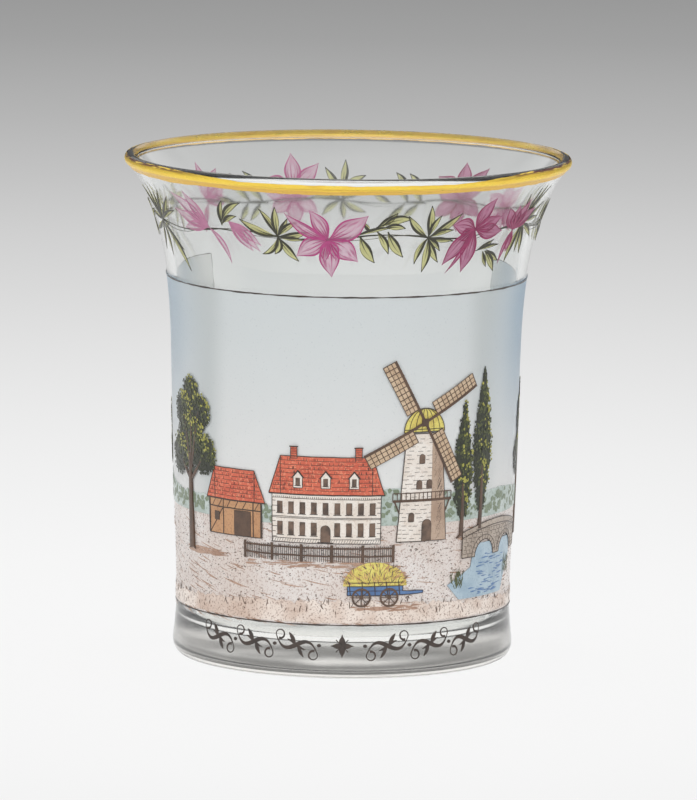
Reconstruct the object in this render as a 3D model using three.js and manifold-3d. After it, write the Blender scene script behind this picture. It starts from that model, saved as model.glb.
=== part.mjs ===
// A flared drinking glass with a thick base, gilded at its lip and painted round its outside with
// fired enamels: a garland under the lip, a landscape round two thirds of the body and a row
// of brush scrolls under that.
// Millimetres, +Z up. The origin is the middle of the flat ring that the glass stands on. The
// middle of the picture faces -Y, and angles are degrees from there, positive towards +X.
import * as THREE from "three";
import { mergeVertices } from "three/addons/utils/BufferGeometryUtils.js";
import Module from "manifold-3d";

// The glass
const lipTop = 98; // from the table to the top of the lip
const lipRadius = 1.05; // half the thickness of the rounded lip
const lipCentreRadius = 42.25; // from the axis to the middle of the lip
const flareAngle = 38; // lean of the wall just under the lip
const wall = 1.8; // thickness of the wall
const shoulderRadius = 34.0; // outside, where the flare starts
const shoulderHeight = 62;
const shoulderSlope = 0.03; // how fast the outside widens there
const shoulderPull = 17; // how far the body's line carries on into the flare
const flarePull = 6.4; // how far the lip's line carries on down the flare
const bellyRadius = 33.3; // outside, half way up the straight body
const bellyHeight = 38;
const waistRadius = 32.45; // outside, at the narrowest line
const waistHeight = 14;
const footRadius = 33.1; // outside, at the widest line of the foot
const footHeight = 3;
const standRadius = 30.4; // outer edge of the ring that it stands on
const kickRadius = 21; // inner edge of that ring
const kickHeight = 0.3; // rise of the hollow inside the ring
const floorThickness = 6.6; // table to the inside of the base, at its edge
const floorRise = 0.7; // how much higher the middle of the floor is
const floorFillet = 3.2; // rounding between the floor and the wall
const sides = 48; // flats round every turned surface

// The fired layers. Each film lies on the one before it, with a hair of clearance.
const filmClearance = 0.04;
const filmThickness = 0.1;
const filmSeam = 0.3; // bare line between two films that meet edge to edge
const gildingOutside = 2.0; // how far the gilding comes down the outside, below the lip's middle
const gildingOver = 35; // and up over the lip, in degrees from its outermost line

// The picture's field
const panelLeft = -127; // degrees round to the field's left end
const panelRight = 120; // and to its right end
const panelLow = 10.6;
const panelDrop = 23.5; // from the top of the lip down to the field's upper line
const panelHigh = lipTop - panelDrop;
const outlineWidth = 0.4; // painted line round the field
const landInset = 4; // degrees of bare field beside the painted land
const horizonHeight = 30.5;
const hillHeight = 4.6; // over the horizon
const hillSwell = 2.4;
const bankHeight = 2.8; // of the near bank, over the field's lower line
const bankSwell = 1.1;

// Farm buildings: a wall under a hipped roof. Angles say where, and a foot is its height over
// the table.
const houses = {
  farmhouse: { angle: -6, foot: 26.6, halfLength: 10.5, wall: 9.4, roof: 7.4, paint: "plaster" },
  barn: { angle: -39.5, foot: 26.9, halfLength: 6.5, wall: 6.8, roof: 6.2, paint: "ochre" },
};
const eaves = 0.8; // how far a roof runs past its wall
const roofHip = 2.4; // how far the ridge stops short of the eaves
const fence = { angle: -9, foot: 22.9, halfLength: 15, height: 3.4, postWidth: 0.5, railWidth: 0.4 };
const fencePosts = 6;
const fenceRails = [0.3, 0.75]; // how high they run, as shares of the fence

// A tower mill
const mill = { angle: 27, foot: 26.8, footRadius: 5.3, headRadius: 3.7, height: 21 };
const millCap = { height: 4.6, brim: 0.6 };
const sail = { length: 13.6, width: 2.7, armWidth: 0.6, hubRadius: 1, bareLength: 3, turn: 28 };
const hubShare = 0.4; // how high in the cap the sails' hub is

// A bridge of two arches over a stream
const bridge = { angle: 63, foot: 22.6, halfLength: 11, sideHeight: 5, crownHeight: 6.8 };
const arches = { radius: 3.1, pier: 2.4 };
const stream = { width: 1, bendWidth: 7, footWidth: 4, fall: 8 }; // past the arches, and below them

// A hay cart
const cart = { angle: 11, foot: 14.2, halfLength: 5.4, bedHeight: 1.8, wheelRadius: 1.9 };
const bedClearance = 2.3; // from the ground to the underside of the bed
const shafts = { length: 4.2, rootHeight: 0.8, tipHeight: 0.5, rise: 0.2 };
const hay = { height: 4.6, overhang: 0.8 };

// Trees, round ones with lobed crowns and tall ones
const trees = {
  oak_left: { kind: "round", layer: 3, angle: -62, foot: 23, height: 34, crownRadius: 9 },
  poplar_near: { kind: "tall", layer: 2, angle: 43, foot: 27, height: 26, crownRadius: 2.6 },
  poplar_far: { kind: "tall", layer: 2, angle: 52, foot: 28, height: 31, crownRadius: 2.9 },
  oak_right: { kind: "round", layer: 2, angle: 92, foot: 24, height: 31, crownRadius: 8.5 },
  elm_left: { kind: "round", layer: 2, angle: -100, foot: 26, height: 26, crownRadius: 7.5 },
  elm_right: { kind: "round", layer: 3, angle: 104, foot: 26, height: 24, crownRadius: 6.5 },
};
const trunkShares = { round: 0.34, tall: 0.14 }; // of the tree's height, bare below the crown
const trunkInCrown = 0.3; // how far the trunk runs up into the crown, as a share of the crown
const trunkRadius = 0.35; // of the thinnest trunk
const trunkGrowth = 0.06; // what a wider crown adds to that, as a share of the crown's radius
const crownLobes = [
  // across and up as shares of the crown's radius and height, and size as a share of the radius
  [0, 0.4, 0.62],
  [-0.52, 0.28, 0.44],
  [0.54, 0.32, 0.42],
  [-0.3, 0.66, 0.42],
  [0.34, 0.68, 0.4],
  [0.02, 0.84, 0.34],
];

// The garland under the lip
const garlandDrop = 11.75; // from the top of the lip down to its stem
const garlandHeight = lipTop - garlandDrop;
const garlandWave = 0.6; // how far its stem rises and falls
const garlandWaves = 8;
const stemWidth = 0.45;
const petalLength = 6;
const petalWidth = 3;
const leafLength = 5.4;
const leafWidth = 1.4;
const stalkWidth = 0.8; // of a leaf spray's own stalk

// The scrolls under the picture
const scrollHeight = 6.7;
const scrollLength = 8.2;
const scrollRise = 4.4;
const scrollWidth = 1; // of the brush line at its widest
const sprigLength = 2.6;
const scrollPitch = 15.5; // degrees from one scroll to the next
const scrollsEachSide = 3;

const radians = THREE.MathUtils.degToRad;
const point = (x, y) => new THREE.Vector2(x, y);
const wasm = await Module();
wasm.setup();

// The outline of the glass

const flareLean = radians(flareAngle);
const flareAlong = point(Math.sin(flareLean), Math.cos(flareLean)); // up the wall under the lip
const flareOut = point(Math.cos(flareLean), -Math.sin(flareLean)); // out of that wall
const lipCentre = point(lipCentreRadius, lipTop - lipRadius);
const lipReach = Math.sqrt(lipRadius ** 2 - (wall / 2) ** 2); // from the lip's middle to the wall
const lipOuterJoint = lipCentre.clone()
  .addScaledVector(flareOut, wall / 2)
  .addScaledVector(flareAlong, -lipReach);

// The outside of the wall, from the widest line of the foot up to the lip.
function outsideLine() {
  const body = new THREE.SplineCurve([
    point(footRadius, footHeight),
    point(waistRadius, waistHeight),
    point(bellyRadius, bellyHeight),
    point(shoulderRadius, shoulderHeight),
  ]);
  const flareSlope = Math.tan(flareLean);
  const flare = new THREE.CubicBezierCurve(
    point(shoulderRadius, shoulderHeight),
    point(shoulderRadius + shoulderSlope * shoulderPull, shoulderHeight + shoulderPull),
    point(lipOuterJoint.x - flareSlope * flarePull, lipOuterJoint.y - flarePull),
    lipOuterJoint,
  );
  return [...body.getPoints(4), ...flare.getPoints(5).slice(1)];
}
const outside = outsideLine();

// The outside's radius at a height, along the same straight stretches that the glass has.
function outsideRadius(height) {
  const above = outside.findIndex((p) => p.y >= height);
  const high = outside[above < 0 ? outside.length - 1 : Math.max(above, 1)];
  const low = outside[outside.indexOf(high) - 1];
  return THREE.MathUtils.mapLinear(height, low.y, high.y, low.x, high.x);
}

// The inside of the wall, from the lip down to the floor's fillet: the outside moved in by the wall.
function insideLine() {
  const moved = outside.map((p, i) => {
    const before = outside[Math.max(i - 1, 0)];
    const after = outside[Math.min(i + 1, outside.length - 1)];
    const along = after.clone().sub(before).normalize();
    return point(p.x - along.y * wall, p.y + along.x * wall);
  });
  const filletTop = floorThickness + floorFillet;
  return moved.filter((p) => p.y > filletTop + 1).reverse();
}

// Points of an arc from one angle to another, in degrees from +X.
function arc(centre, radius, from, to, steps) {
  return Array.from({ length: steps + 1 }, (_, i) => {
    const turn = radians(from + ((to - from) * i) / steps);
    return point(centre.x + radius * Math.cos(turn), centre.y + radius * Math.sin(turn));
  });
}

// The lip's round edge, from the outside of the wall up to a turn or right over the top to the
// inside, standing off it.
const lipHalfOpening = THREE.MathUtils.radToDeg(Math.asin(wall / 2 / lipRadius));
const lipFrom = -90 - flareAngle + lipHalfOpening;
const lipTo = 270 - flareAngle - lipHalfOpening;

function lipLine(stand, end = lipTo) {
  const quarters = [...[lipFrom, 0, 90].filter((turn) => turn < end), end];
  return quarters.slice(1).flatMap((to, i) =>
    arc(lipCentre, lipRadius + stand, quarters[i], to, 2).slice(i === 0 ? 0 : 1),
  );
}

function glassOutline() {
  const foot = new THREE.QuadraticBezierCurve(
    point(standRadius, 0),
    point(footRadius, 0),
    point(footRadius, footHeight),
  );
  const kick = new THREE.QuadraticBezierCurve(
    point(0, kickHeight),
    point(kickRadius / 2, kickHeight),
    point(kickRadius, 0),
  );
  const inside = insideLine();
  const filletCentre = point(inside.at(-1).x - floorFillet, floorThickness + floorFillet);
  return [
    ...kick.getPoints(3),
    ...foot.getPoints(3),
    ...outside.slice(1),
    ...lipLine(0).slice(1, -1),
    ...inside,
    ...arc(filletCentre, floorFillet, 0, -90, 3),
    point(0, floorThickness + floorRise),
  ];
}

// Solids

// A solid turned about the axis from an outline of (radius, height) points.
function turned(outline) {
  return new THREE.LatheGeometry(outline, sides).rotateX(Math.PI / 2);
}

function merged(geometry) {
  const bare = geometry.clone();
  bare.deleteAttribute("normal");
  bare.deleteAttribute("uv");
  return mergeVertices(bare, 1e-4);
}

function solidOf(geometry) {
  const bare = merged(geometry);
  return new wasm.Manifold(
    new wasm.Mesh({
      numProp: 3,
      vertProperties: bare.attributes.position.array,
      triVerts: new Uint32Array(bare.index.array),
    }),
  );
}

function geometryOf(solid) {
  const mesh = solid.getMesh();
  const geometry = new THREE.BufferGeometry();
  geometry.setAttribute("position", new THREE.BufferAttribute(mesh.vertProperties, 3));
  geometry.setIndex(new THREE.BufferAttribute(mesh.triVerts, 1));
  geometry.computeVertexNormals();
  return geometry;
}

// How far the inner and the outer face of a film stand off the glass, for the first film, the
// second and so on.
const filmBottom = (layer) => filmClearance + layer * (filmThickness + filmClearance);
const filmTop = (layer) => filmBottom(layer) + filmThickness;

// The flats' own radius at an angle, as a share of the radius at their corners.
const flat = 360 / sides;
function flatShare(angle) {
  const fromMiddle = THREE.MathUtils.euclideanModulo(angle, flat) - flat / 2;
  return Math.cos(radians(flat / 2)) / Math.cos(radians(fromMiddle));
}

// A film on the glass between two angles and two heights, each of which may change with the
// angle. One from -180 to 180 degrees closes on itself.
function film(layer, fromAngle, toAngle, lowAt, highAt) {
  const isRing = toAngle - fromAngle >= 360;
  const angles = [fromAngle];
  for (let turn = Math.floor(fromAngle / flat + 1) * flat; turn < toAngle - 0.01; turn += flat) {
    angles.push(turn);
  }
  if (!isRing) {
    angles.push(toAngle);
  }
  const lowest = Math.max(...angles.map(lowAt));
  const highest = Math.min(...angles.map(highAt));
  const bends = outside.map((p) => p.y).filter((y) => y > lowest && y < highest);
  const rows = bends.length + 1;
  const positions = [];
  for (const stand of [filmBottom(layer), filmTop(layer)]) {
    for (const angle of angles) {
      const turn = radians(angle);
      for (const height of [lowAt(angle), ...bends, highAt(angle)]) {
        const radius = (outsideRadius(height) + stand) * flatShare(angle);
        positions.push(radius * Math.sin(turn), -radius * Math.cos(turn), height);
      }
    }
  }
  const columns = isRing ? angles.length : angles.length - 1;
  const at = (face, i, j) => (face * angles.length + (i % angles.length)) * (rows + 1) + j;
  const index = [];
  const quad = (a, b, c, d) => index.push(a, b, c, a, c, d);
  for (let i = 0; i < columns; i += 1) {
    for (let j = 0; j < rows; j += 1) {
      quad(at(1, i, j), at(1, i + 1, j), at(1, i + 1, j + 1), at(1, i, j + 1));
      quad(at(0, i, j), at(0, i, j + 1), at(0, i + 1, j + 1), at(0, i + 1, j));
    }
    quad(at(0, i, 0), at(0, i + 1, 0), at(1, i + 1, 0), at(1, i, 0));
    quad(at(0, i, rows), at(1, i, rows), at(1, i + 1, rows), at(0, i + 1, rows));
  }
  for (let j = 0; j < rows && !isRing; j += 1) {
    quad(at(0, 0, j), at(1, 0, j), at(1, 0, j + 1), at(0, 0, j + 1));
    quad(at(0, columns, j), at(0, columns, j + 1), at(1, columns, j + 1), at(1, columns, j));
  }
  const geometry = new THREE.BufferGeometry();
  geometry.setAttribute("position", new THREE.Float32BufferAttribute(positions, 3));
  geometry.setIndex(index);
  geometry.computeVertexNormals();
  return geometry;
}

// A whole ring of film between two heights, with the glass's own bends.
function filmRing(layer, low, high) {
  const heights = [low, ...outside.map((p) => p.y).filter((y) => y > low && y < high), high];
  const inner = heights.map((h) => point(outsideRadius(h) + filmBottom(layer), h));
  const outer = heights.map((h) => point(outsideRadius(h) + filmTop(layer), h));
  return turned([...outer, ...inner.reverse(), outer[0]]);
}

// Motifs are outlines in millimetres on the glass, x along its girth and y up, round their own
// middle. Each one is cut out of a ring of film where it lies.

function prismAt(outline, angle, height) {
  const radius = outsideRadius(height);
  const onGirth = outline.map((p) => point(radius * Math.sin(p.x / radius), p.y + height));
  const prism = new THREE.ExtrudeGeometry(new THREE.Shape(onGirth), {
    depth: radius,
    bevelEnabled: false,
  });
  prism.translate(0, 0, radius / 2); // from inside the wall to well outside it
  return prism.rotateX(Math.PI / 2).rotateZ(radians(angle));
}

function motif(layer, outlines, angle, height) {
  const heights = outlines.flat().map((p) => p.y + height);
  const ring = filmRing(layer, Math.min(...heights) - 1, Math.max(...heights) + 1);
  const cutters = outlines.map((outline) => solidOf(prismAt(outline, angle, height)));
  const cutter = cutters.reduce((joined, next) => joined.add(next));
  return geometryOf(solidOf(ring).intersect(cutter));
}

// Outlines

function moved(outline, x, y, degrees = 0) {
  const middle = point(0, 0);
  return outline.map((p) => p.clone().rotateAround(middle, radians(degrees)).add(point(x, y)));
}

// A leaf or a petal from the origin along +X, pointed at both ends.
function leafOutline(length, width, widest = 0.5, steps = 2) {
  const power = Math.log(0.5) / Math.log(widest);
  const edge = (share, side) =>
    point(share * length, side * (width / 2) * Math.sin(Math.PI * share ** power));
  const upper = [];
  const lower = [];
  for (let i = 1; i < steps; i += 1) {
    lower.push(edge(i / steps, -1));
    upper.unshift(edge(i / steps, 1));
  }
  return [point(0, 0), ...lower, point(length, 0), ...upper];
}

function discOutline(radius, x = 0, y = 0, corners = 8) {
  return moved(arc(point(0, 0), radius, 0, 360 - 360 / corners, corners - 1), x, y);
}

function boxOutline(left, bottom, right, top) {
  return [point(left, bottom), point(right, bottom), point(right, top), point(left, top)];
}

// The upper half of an oval, over a straight foot.
function halfOval(halfLength, height, foot, steps) {
  return arc(point(0, 0), 1, 0, 180, steps).map((p) => point(p.x * halfLength, foot + p.y * height));
}

// A brush line along a curve, as wide at each share of its length as widthAt says.
function strokeOutline(curve, widthAt, steps) {
  const left = [];
  const right = [];
  for (let i = 0; i <= steps; i += 1) {
    const share = i / steps;
    const middle = curve.getPoint(share);
    const along = curve.getTangent(share);
    const half = widthAt(share) / 2;
    right.push(point(middle.x + along.y * half, middle.y - along.x * half));
    left.unshift(point(middle.x - along.y * half, middle.y + along.x * half));
  }
  return [...right, ...left];
}

// Pieces

const colours = {
  glass: 0xe9efee,
  gold: 0xd9a92f,
  sky: 0xb9cddb,
  earth: 0xcdb5a4,
  ink: 0x2d2621,
  hill: 0x9fb0a8,
  water: 0xa9c0c6,
  plaster: 0xe6dfd6,
  ochre: 0xb58a63,
  tile: 0xc2432a,
  thatch: 0xd8c04a,
  stone: 0xa8988a,
  leaf: 0x6f7a34,
  foliage: 0x3d4325,
  blossom: 0xc678a6,
  blue: 0x4a6fa8,
  wood: 0x5a4334,
};
const model = new THREE.Group();

function place(name, geometry, colour, finish = {}) {
  const material = new THREE.MeshStandardMaterial({
    color: colour,
    roughness: 0.45,
    metalness: 0,
    ...finish,
  });
  const mesh = new THREE.Mesh(geometry, material);
  mesh.name = name;
  model.add(mesh);
}

// The blown glass itself and the gold over its lip.
function addVessel() {
  place("glass_body", turned(glassOutline()), colours.glass, {
    roughness: 0.03,
    transparent: true,
    opacity: 0.35,
  });
  const outsideEnd = lipCentre.y - gildingOutside;
  const gildingLine = (stand) => [
    point(outsideRadius(outsideEnd) + stand, outsideEnd),
    ...lipLine(stand, gildingOver),
  ];
  const outer = gildingLine(filmTop(0));
  const inner = gildingLine(filmBottom(0));
  place("gilt_rim", turned([...outer, ...inner.reverse(), outer[0]]), colours.gold, {
    roughness: 0.2,
    metalness: 1,
  });
}

// The picture's field: sky over earth, the line painted round them and the land on them.
function addField() {
  const [left, right] = [panelLeft, panelRight];
  const [landLeft, landRight] = [panelLeft + landInset, panelRight - landInset];
  const fieldFoot = () => panelLow;
  const fieldTop = () => panelHigh;
  const skyFoot = () => horizonHeight + filmSeam;
  const bankFoot = () => panelLow + 2 * outlineWidth;
  const hillTop = (angle) =>
    horizonHeight + hillHeight + hillSwell * Math.sin(radians(angle * 2.6 + 20)) * 0.7
    + hillSwell * Math.sin(radians(angle * 6.1)) * 0.3;
  const bankTop = (angle) =>
    bankFoot() + bankHeight + bankSwell * Math.sin(radians(angle * 1.7 + 100));
  place("sky_enamel", film(0, left, right, skyFoot, fieldTop), colours.sky);
  place("earth_enamel", film(0, left, right, fieldFoot, () => horizonHeight), colours.earth);
  place("far_hills", film(1, landLeft, landRight, () => horizonHeight, hillTop), colours.hill);
  place("near_bank", film(1, landLeft, landRight, bankFoot, bankTop), colours.ochre);
  const blank = solidOf(film(1, left, right, fieldFoot, fieldTop));
  place("panel_outline", geometryOf(blank.subtract(fieldInsideLine())), colours.ink);
}

// The wedge-shaped block inside the painted line.
function fieldInsideLine() {
  const inset = THREE.MathUtils.radToDeg(outlineWidth / bellyRadius);
  const [from, to] = [panelLeft + inset, panelRight - inset];
  const rim = arc(point(0, 0), 2 * lipCentreRadius, from - 90, to - 90, 12);
  const wedge = new THREE.Shape([point(0, 0), ...rim]);
  const depth = panelHigh - panelLow - 2 * outlineWidth;
  const block = new THREE.ExtrudeGeometry(wedge, { depth, bevelEnabled: false });
  return solidOf(block.translate(0, 0, panelLow + outlineWidth));
}

// A tower mill with a domed cap and four sails.
function addMill() {
  const tower = [
    point(-mill.footRadius, 0),
    point(mill.footRadius, 0),
    point(mill.headRadius, mill.height),
    point(-mill.headRadius, mill.height),
  ];
  place("mill_tower", motif(2, [tower], mill.angle, mill.foot), colours.plaster);
  const capRadius = mill.headRadius + millCap.brim;
  const cap = halfOval(capRadius, millCap.height, 0, 8);
  const capFoot = mill.foot + mill.height + filmSeam;
  place("mill_cap", motif(2, [cap], mill.angle, capFoot), colours.thatch);
  const arm = boxOutline(0, -sail.armWidth / 2, sail.length, sail.armWidth / 2);
  const cloth = boxOutline(sail.bareLength, 0, sail.length, sail.width);
  const sails = [0, 90, 180, 270].flatMap((quarter) =>
    [arm, cloth].map((part) => moved(part, 0, 0, sail.turn + quarter)),
  );
  const hub = discOutline(sail.hubRadius);
  const hubHeight = capFoot + millCap.height * hubShare;
  place("mill_sails", motif(3, [hub, ...sails], mill.angle, hubHeight), colours.wood);
}

// The farm buildings, with a post and rail fence before them.
function addFarm() {
  for (const [name, house] of Object.entries(houses)) {
    const front = boxOutline(-house.halfLength, 0, house.halfLength, house.wall - filmSeam);
    place(name + "_wall", motif(2, [front], house.angle, house.foot), colours[house.paint]);
    const roofHalf = house.halfLength + eaves;
    const roof = [
      point(-roofHalf, 0),
      point(roofHalf, 0),
      point(roofHalf - roofHip, house.roof),
      point(-roofHalf + roofHip, house.roof),
    ];
    const roofFoot = house.foot + house.wall;
    place(name + "_roof", motif(2, [roof], house.angle, roofFoot), colours.tile);
  }
  const rails = fenceRails.map((share) => {
    const low = fence.height * share;
    return boxOutline(-fence.halfLength, low, fence.halfLength, low + fence.railWidth);
  });
  const posts = Array.from({ length: fencePosts }, (_, i) => {
    const halfPost = fence.postWidth / 2;
    const reach = fence.halfLength - halfPost;
    const x = THREE.MathUtils.lerp(-reach, reach, i / (fencePosts - 1));
    return boxOutline(x - halfPost, 0, x + halfPost, fence.height);
  });
  place("rail_fence", motif(3, [...rails, ...posts], fence.angle, fence.foot), colours.wood);
}

// The bridge, and the stream that comes out from under it.
function addBridge() {
  const span = arches.radius + arches.pier / 2;
  const deck = [
    point(-bridge.halfLength, 0),
    point(bridge.halfLength, 0),
    point(bridge.halfLength, bridge.sideHeight),
    point(0, bridge.crownHeight),
    point(-bridge.halfLength, bridge.sideHeight),
  ];
  const openings = [-span, span].map((x) => {
    const crown = arc(point(x, 0), arches.radius, 0, 180, 6);
    const legs = [point(x - arches.radius, -arches.pier), point(x + arches.radius, -arches.pier)];
    return solidOf(prismAt([...crown, ...legs], bridge.angle, bridge.foot));
  });
  const whole = solidOf(motif(3, [deck], bridge.angle, bridge.foot));
  const opened = openings.reduce((left, opening) => left.subtract(opening), whole);
  place("stone_bridge", geometryOf(opened), colours.stone);
  const bankSide = span + arches.radius;
  const underBridge = bridge.sideHeight / 2;
  const water = [
    point(-bankSide, underBridge),
    point(-bankSide - stream.width, -stream.fall * 0.25),
    point(-bankSide - stream.bendWidth, -stream.fall * 0.62),
    point(-bankSide - stream.footWidth, -stream.fall),
    point(bankSide * 0.4, -stream.fall),
    point(bankSide * 0.7, -stream.fall * 0.5),
    point(bankSide, -stream.fall * 0.12),
    point(bankSide, underBridge),
  ];
  place("stream", motif(2, [water], bridge.angle, bridge.foot), colours.water);
}

// The hay cart: bed and shafts, load, and two wheels on one side.
function addCart() {
  const bedTop = bedClearance + cart.bedHeight;
  const shaftEnd = cart.halfLength + shafts.length;
  const tipFoot = bedClearance + shafts.rise;
  const bed = [
    point(-cart.halfLength, bedClearance),
    point(cart.halfLength, bedClearance),
    point(shaftEnd, tipFoot),
    point(shaftEnd, tipFoot + shafts.tipHeight),
    point(cart.halfLength, bedClearance + shafts.rootHeight),
    point(cart.halfLength, bedTop),
    point(-cart.halfLength, bedTop),
  ];
  place("cart_bed", motif(2, [bed], cart.angle, cart.foot), colours.blue);
  const load = halfOval(cart.halfLength + hay.overhang, hay.height, bedTop + filmSeam, 7);
  place("hay_load", motif(2, [load], cart.angle, cart.foot), colours.thatch);
  const wheels = [
    ["cart_wheel_rear", -cart.halfLength / 2],
    ["cart_wheel_front", cart.halfLength / 2],
  ];
  for (const [name, x] of wheels) {
    const wheel = discOutline(cart.wheelRadius, x, cart.wheelRadius, 12);
    place(name, motif(3, [wheel], cart.angle, cart.foot), colours.wood);
  }
}

// Trees: a trunk under a lobed crown or a tall narrow one.
function addTrees() {
  for (const [name, tree] of Object.entries(trees)) {
    const { kind, crownRadius } = tree;
    const crownFoot = tree.height * trunkShares[kind];
    const crownHeight = tree.height - crownFoot;
    const halfTrunk = trunkRadius + crownRadius * trunkGrowth;
    const trunk = boxOutline(-halfTrunk, 0, halfTrunk, crownFoot + crownHeight * trunkInCrown);
    const tall = moved(leafOutline(crownHeight, 2 * crownRadius, 0.4, 6), 0, crownFoot, 90);
    const lobes = crownLobes.map(([x, y, size]) =>
      discOutline(size * crownRadius, x * crownRadius, crownFoot + y * crownHeight),
    );
    const crown = kind === "round" ? lobes : [tall];
    place(name, motif(tree.layer, [trunk, ...crown], tree.angle, tree.foot), colours.foliage);
  }
}

// The garland: a waving stem all round, with blossoms, buds and leaves on it.
const stemAt = (angle) => garlandHeight + garlandWave * Math.sin(radians(angle * garlandWaves));

function starBlossom() {
  const petals = [-148, -92, -38, 22, 84, 142].map((turn) =>
    moved(leafOutline(petalLength, petalWidth, 0.55, 3), 0, 0, turn),
  );
  return [discOutline(petalWidth / 3, 0, 0, 6), ...petals];
}

function sideBlossom() {
  const hubSize = petalWidth / 3;
  const hubFall = petalWidth / 3; // the hub hangs below the stem
  const petals = [176, 146, 120, 96].map((turn, i) => {
    const length = petalLength * (i === 0 ? 0.95 : 1.25);
    return moved(leafOutline(length, petalWidth * 0.8), 0, -hubFall, turn);
  });
  const spur = moved(leafOutline(petalLength, petalWidth * 0.35, 0.3), 0, -hubFall, -58);
  return [discOutline(hubSize, 0, -hubFall, 6), ...petals, spur];
}

function bud() {
  const petal = leafOutline(petalLength * 1.1, petalWidth * 0.6, 0.6);
  return [-66, -52, -38].map((turn) => moved(petal, -petalLength * 0.4, petalLength / 3, turn));
}

function leafWhorl() {
  const leaves = [14, 58, 98, 148, 214, 270, 318].map((turn, i) =>
    moved(leafOutline(leafLength * (i % 2 ? 0.85 : 1), leafWidth, 0.6), 0, 0, turn),
  );
  return [discOutline(leafWidth / 2, 0, 0, 6), ...leaves];
}

function leafSpray() {
  const halfStalk = leafLength * 1.1;
  const stalk = moved(leafOutline(2 * halfStalk, stalkWidth, 0.4), -halfStalk, 0);
  const pairs = [-0.62, -0.12].flatMap((share) => [
    moved(leafOutline(leafLength, leafWidth), share * halfStalk, 0, 44),
    moved(leafOutline(leafLength * 0.95, leafWidth), (share + 0.1) * halfStalk, 0, -52),
  ]);
  const last = moved(leafOutline(leafLength * 0.8, leafWidth), halfStalk * 0.5, 0, 24);
  return [stalk, ...pairs, last];
}

const garlandKinds = {
  spray: { outlines: leafSpray, colour: "leaf", layer: 1 },
  bud: { outlines: bud, colour: "blossom", layer: 1 },
  whorl: { outlines: leafWhorl, colour: "leaf", layer: 2 },
  star: { outlines: starBlossom, colour: "blossom", layer: 3 },
  side: { outlines: sideBlossom, colour: "blossom", layer: 4 },
};
// Each motif's kind and angle, and how far it is above the stem where it isn't on it.
const garland = [
  ["whorl", -69.5],
  ["side", -43.5],
  ["bud", -32],
  ["whorl", -20.5],
  ["star", -5.5],
  ["spray", 11.5],
  ["whorl", 24],
  ["star", 39.5, 1.4],
  ["side", 56],
  ["whorl", 61.5, 0.6],
  ["spray", 84],
  ["bud", 102],
  ["star", 122],
  ["star", 143],
  ["spray", 162],
  ["whorl", 182],
  ["star", 197],
  ["spray", 213],
  ["side", 229],
  ["whorl", 249],
  ["spray", 269],
];

function addGarland() {
  const lowAt = (angle) => stemAt(angle) - stemWidth / 2;
  const highAt = (angle) => stemAt(angle) + stemWidth / 2;
  place("garland_stem", film(0, -180, 180, lowAt, highAt), colours.leaf);
  const counts = {};
  for (const [kind, angle, rise = 0] of garland) {
    counts[kind] = (counts[kind] ?? 0) + 1;
    const { outlines, colour, layer } = garlandKinds[kind];
    const name = "garland_" + kind + "_" + counts[kind];
    place(name, motif(layer, outlines(), angle, stemAt(angle) + rise), colours[colour]);
  }
}

// Brush scrolls under the picture: S curves that mirror each other about a lozenge.
function scrollOutlines(side) {
  const curve = new THREE.CubicBezierCurve(
    point((-side * scrollLength) / 2, -scrollRise * 0.35),
    point((-side * scrollLength) / 5, scrollRise),
    point((side * scrollLength) / 5, -scrollRise),
    point((side * scrollLength) / 2, scrollRise * 0.35),
  );
  const swell = (share) => scrollWidth * (0.3 + 0.7 * Math.sin(Math.PI * share));
  const sprigRoot = (side * scrollWidth) / 3;
  const sprig = moved(leafOutline(sprigLength, scrollWidth), sprigRoot, 0, 90 - side * 28);
  return [strokeOutline(curve, swell, 6), sprig];
}

function addScrolls() {
  const upright = moved(leafOutline(scrollRise, scrollRise / 2), 0, -scrollRise / 2, 90);
  const across = moved(leafOutline(scrollRise, scrollRise / 4), -scrollRise / 2, 0);
  place("scroll_middle", motif(0, [upright, across], 0, scrollHeight), colours.ink);
  const halves = [
    ["left", -1],
    ["right", 1],
  ];
  for (const [word, side] of halves) {
    for (let i = 1; i <= scrollsEachSide; i += 1) {
      const name = "scroll_" + word + "_" + i;
      place(name, motif(0, scrollOutlines(side), side * i * scrollPitch, scrollHeight), colours.ink);
    }
  }
}

addVessel();
addField();
addMill();
addFarm();
addBridge();
addCart();
addTrees();
addGarland();
addScrolls();

export default model;
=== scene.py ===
# A flared drinking glass, gilded at its lip and painted round its outside with fired enamels.
# Drawings and sizes are in millimetres, and finished pieces in metres. The middle of the picture
# faces -Y, and angles are degrees from there, positive towards +X.
import math
import random
from bisect import bisect_right
from functools import reduce
from types import SimpleNamespace as Sizes

import bmesh
import bpy
from mathutils import Matrix, Vector, noise
from mathutils.geometry import interpolate_bezier


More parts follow.
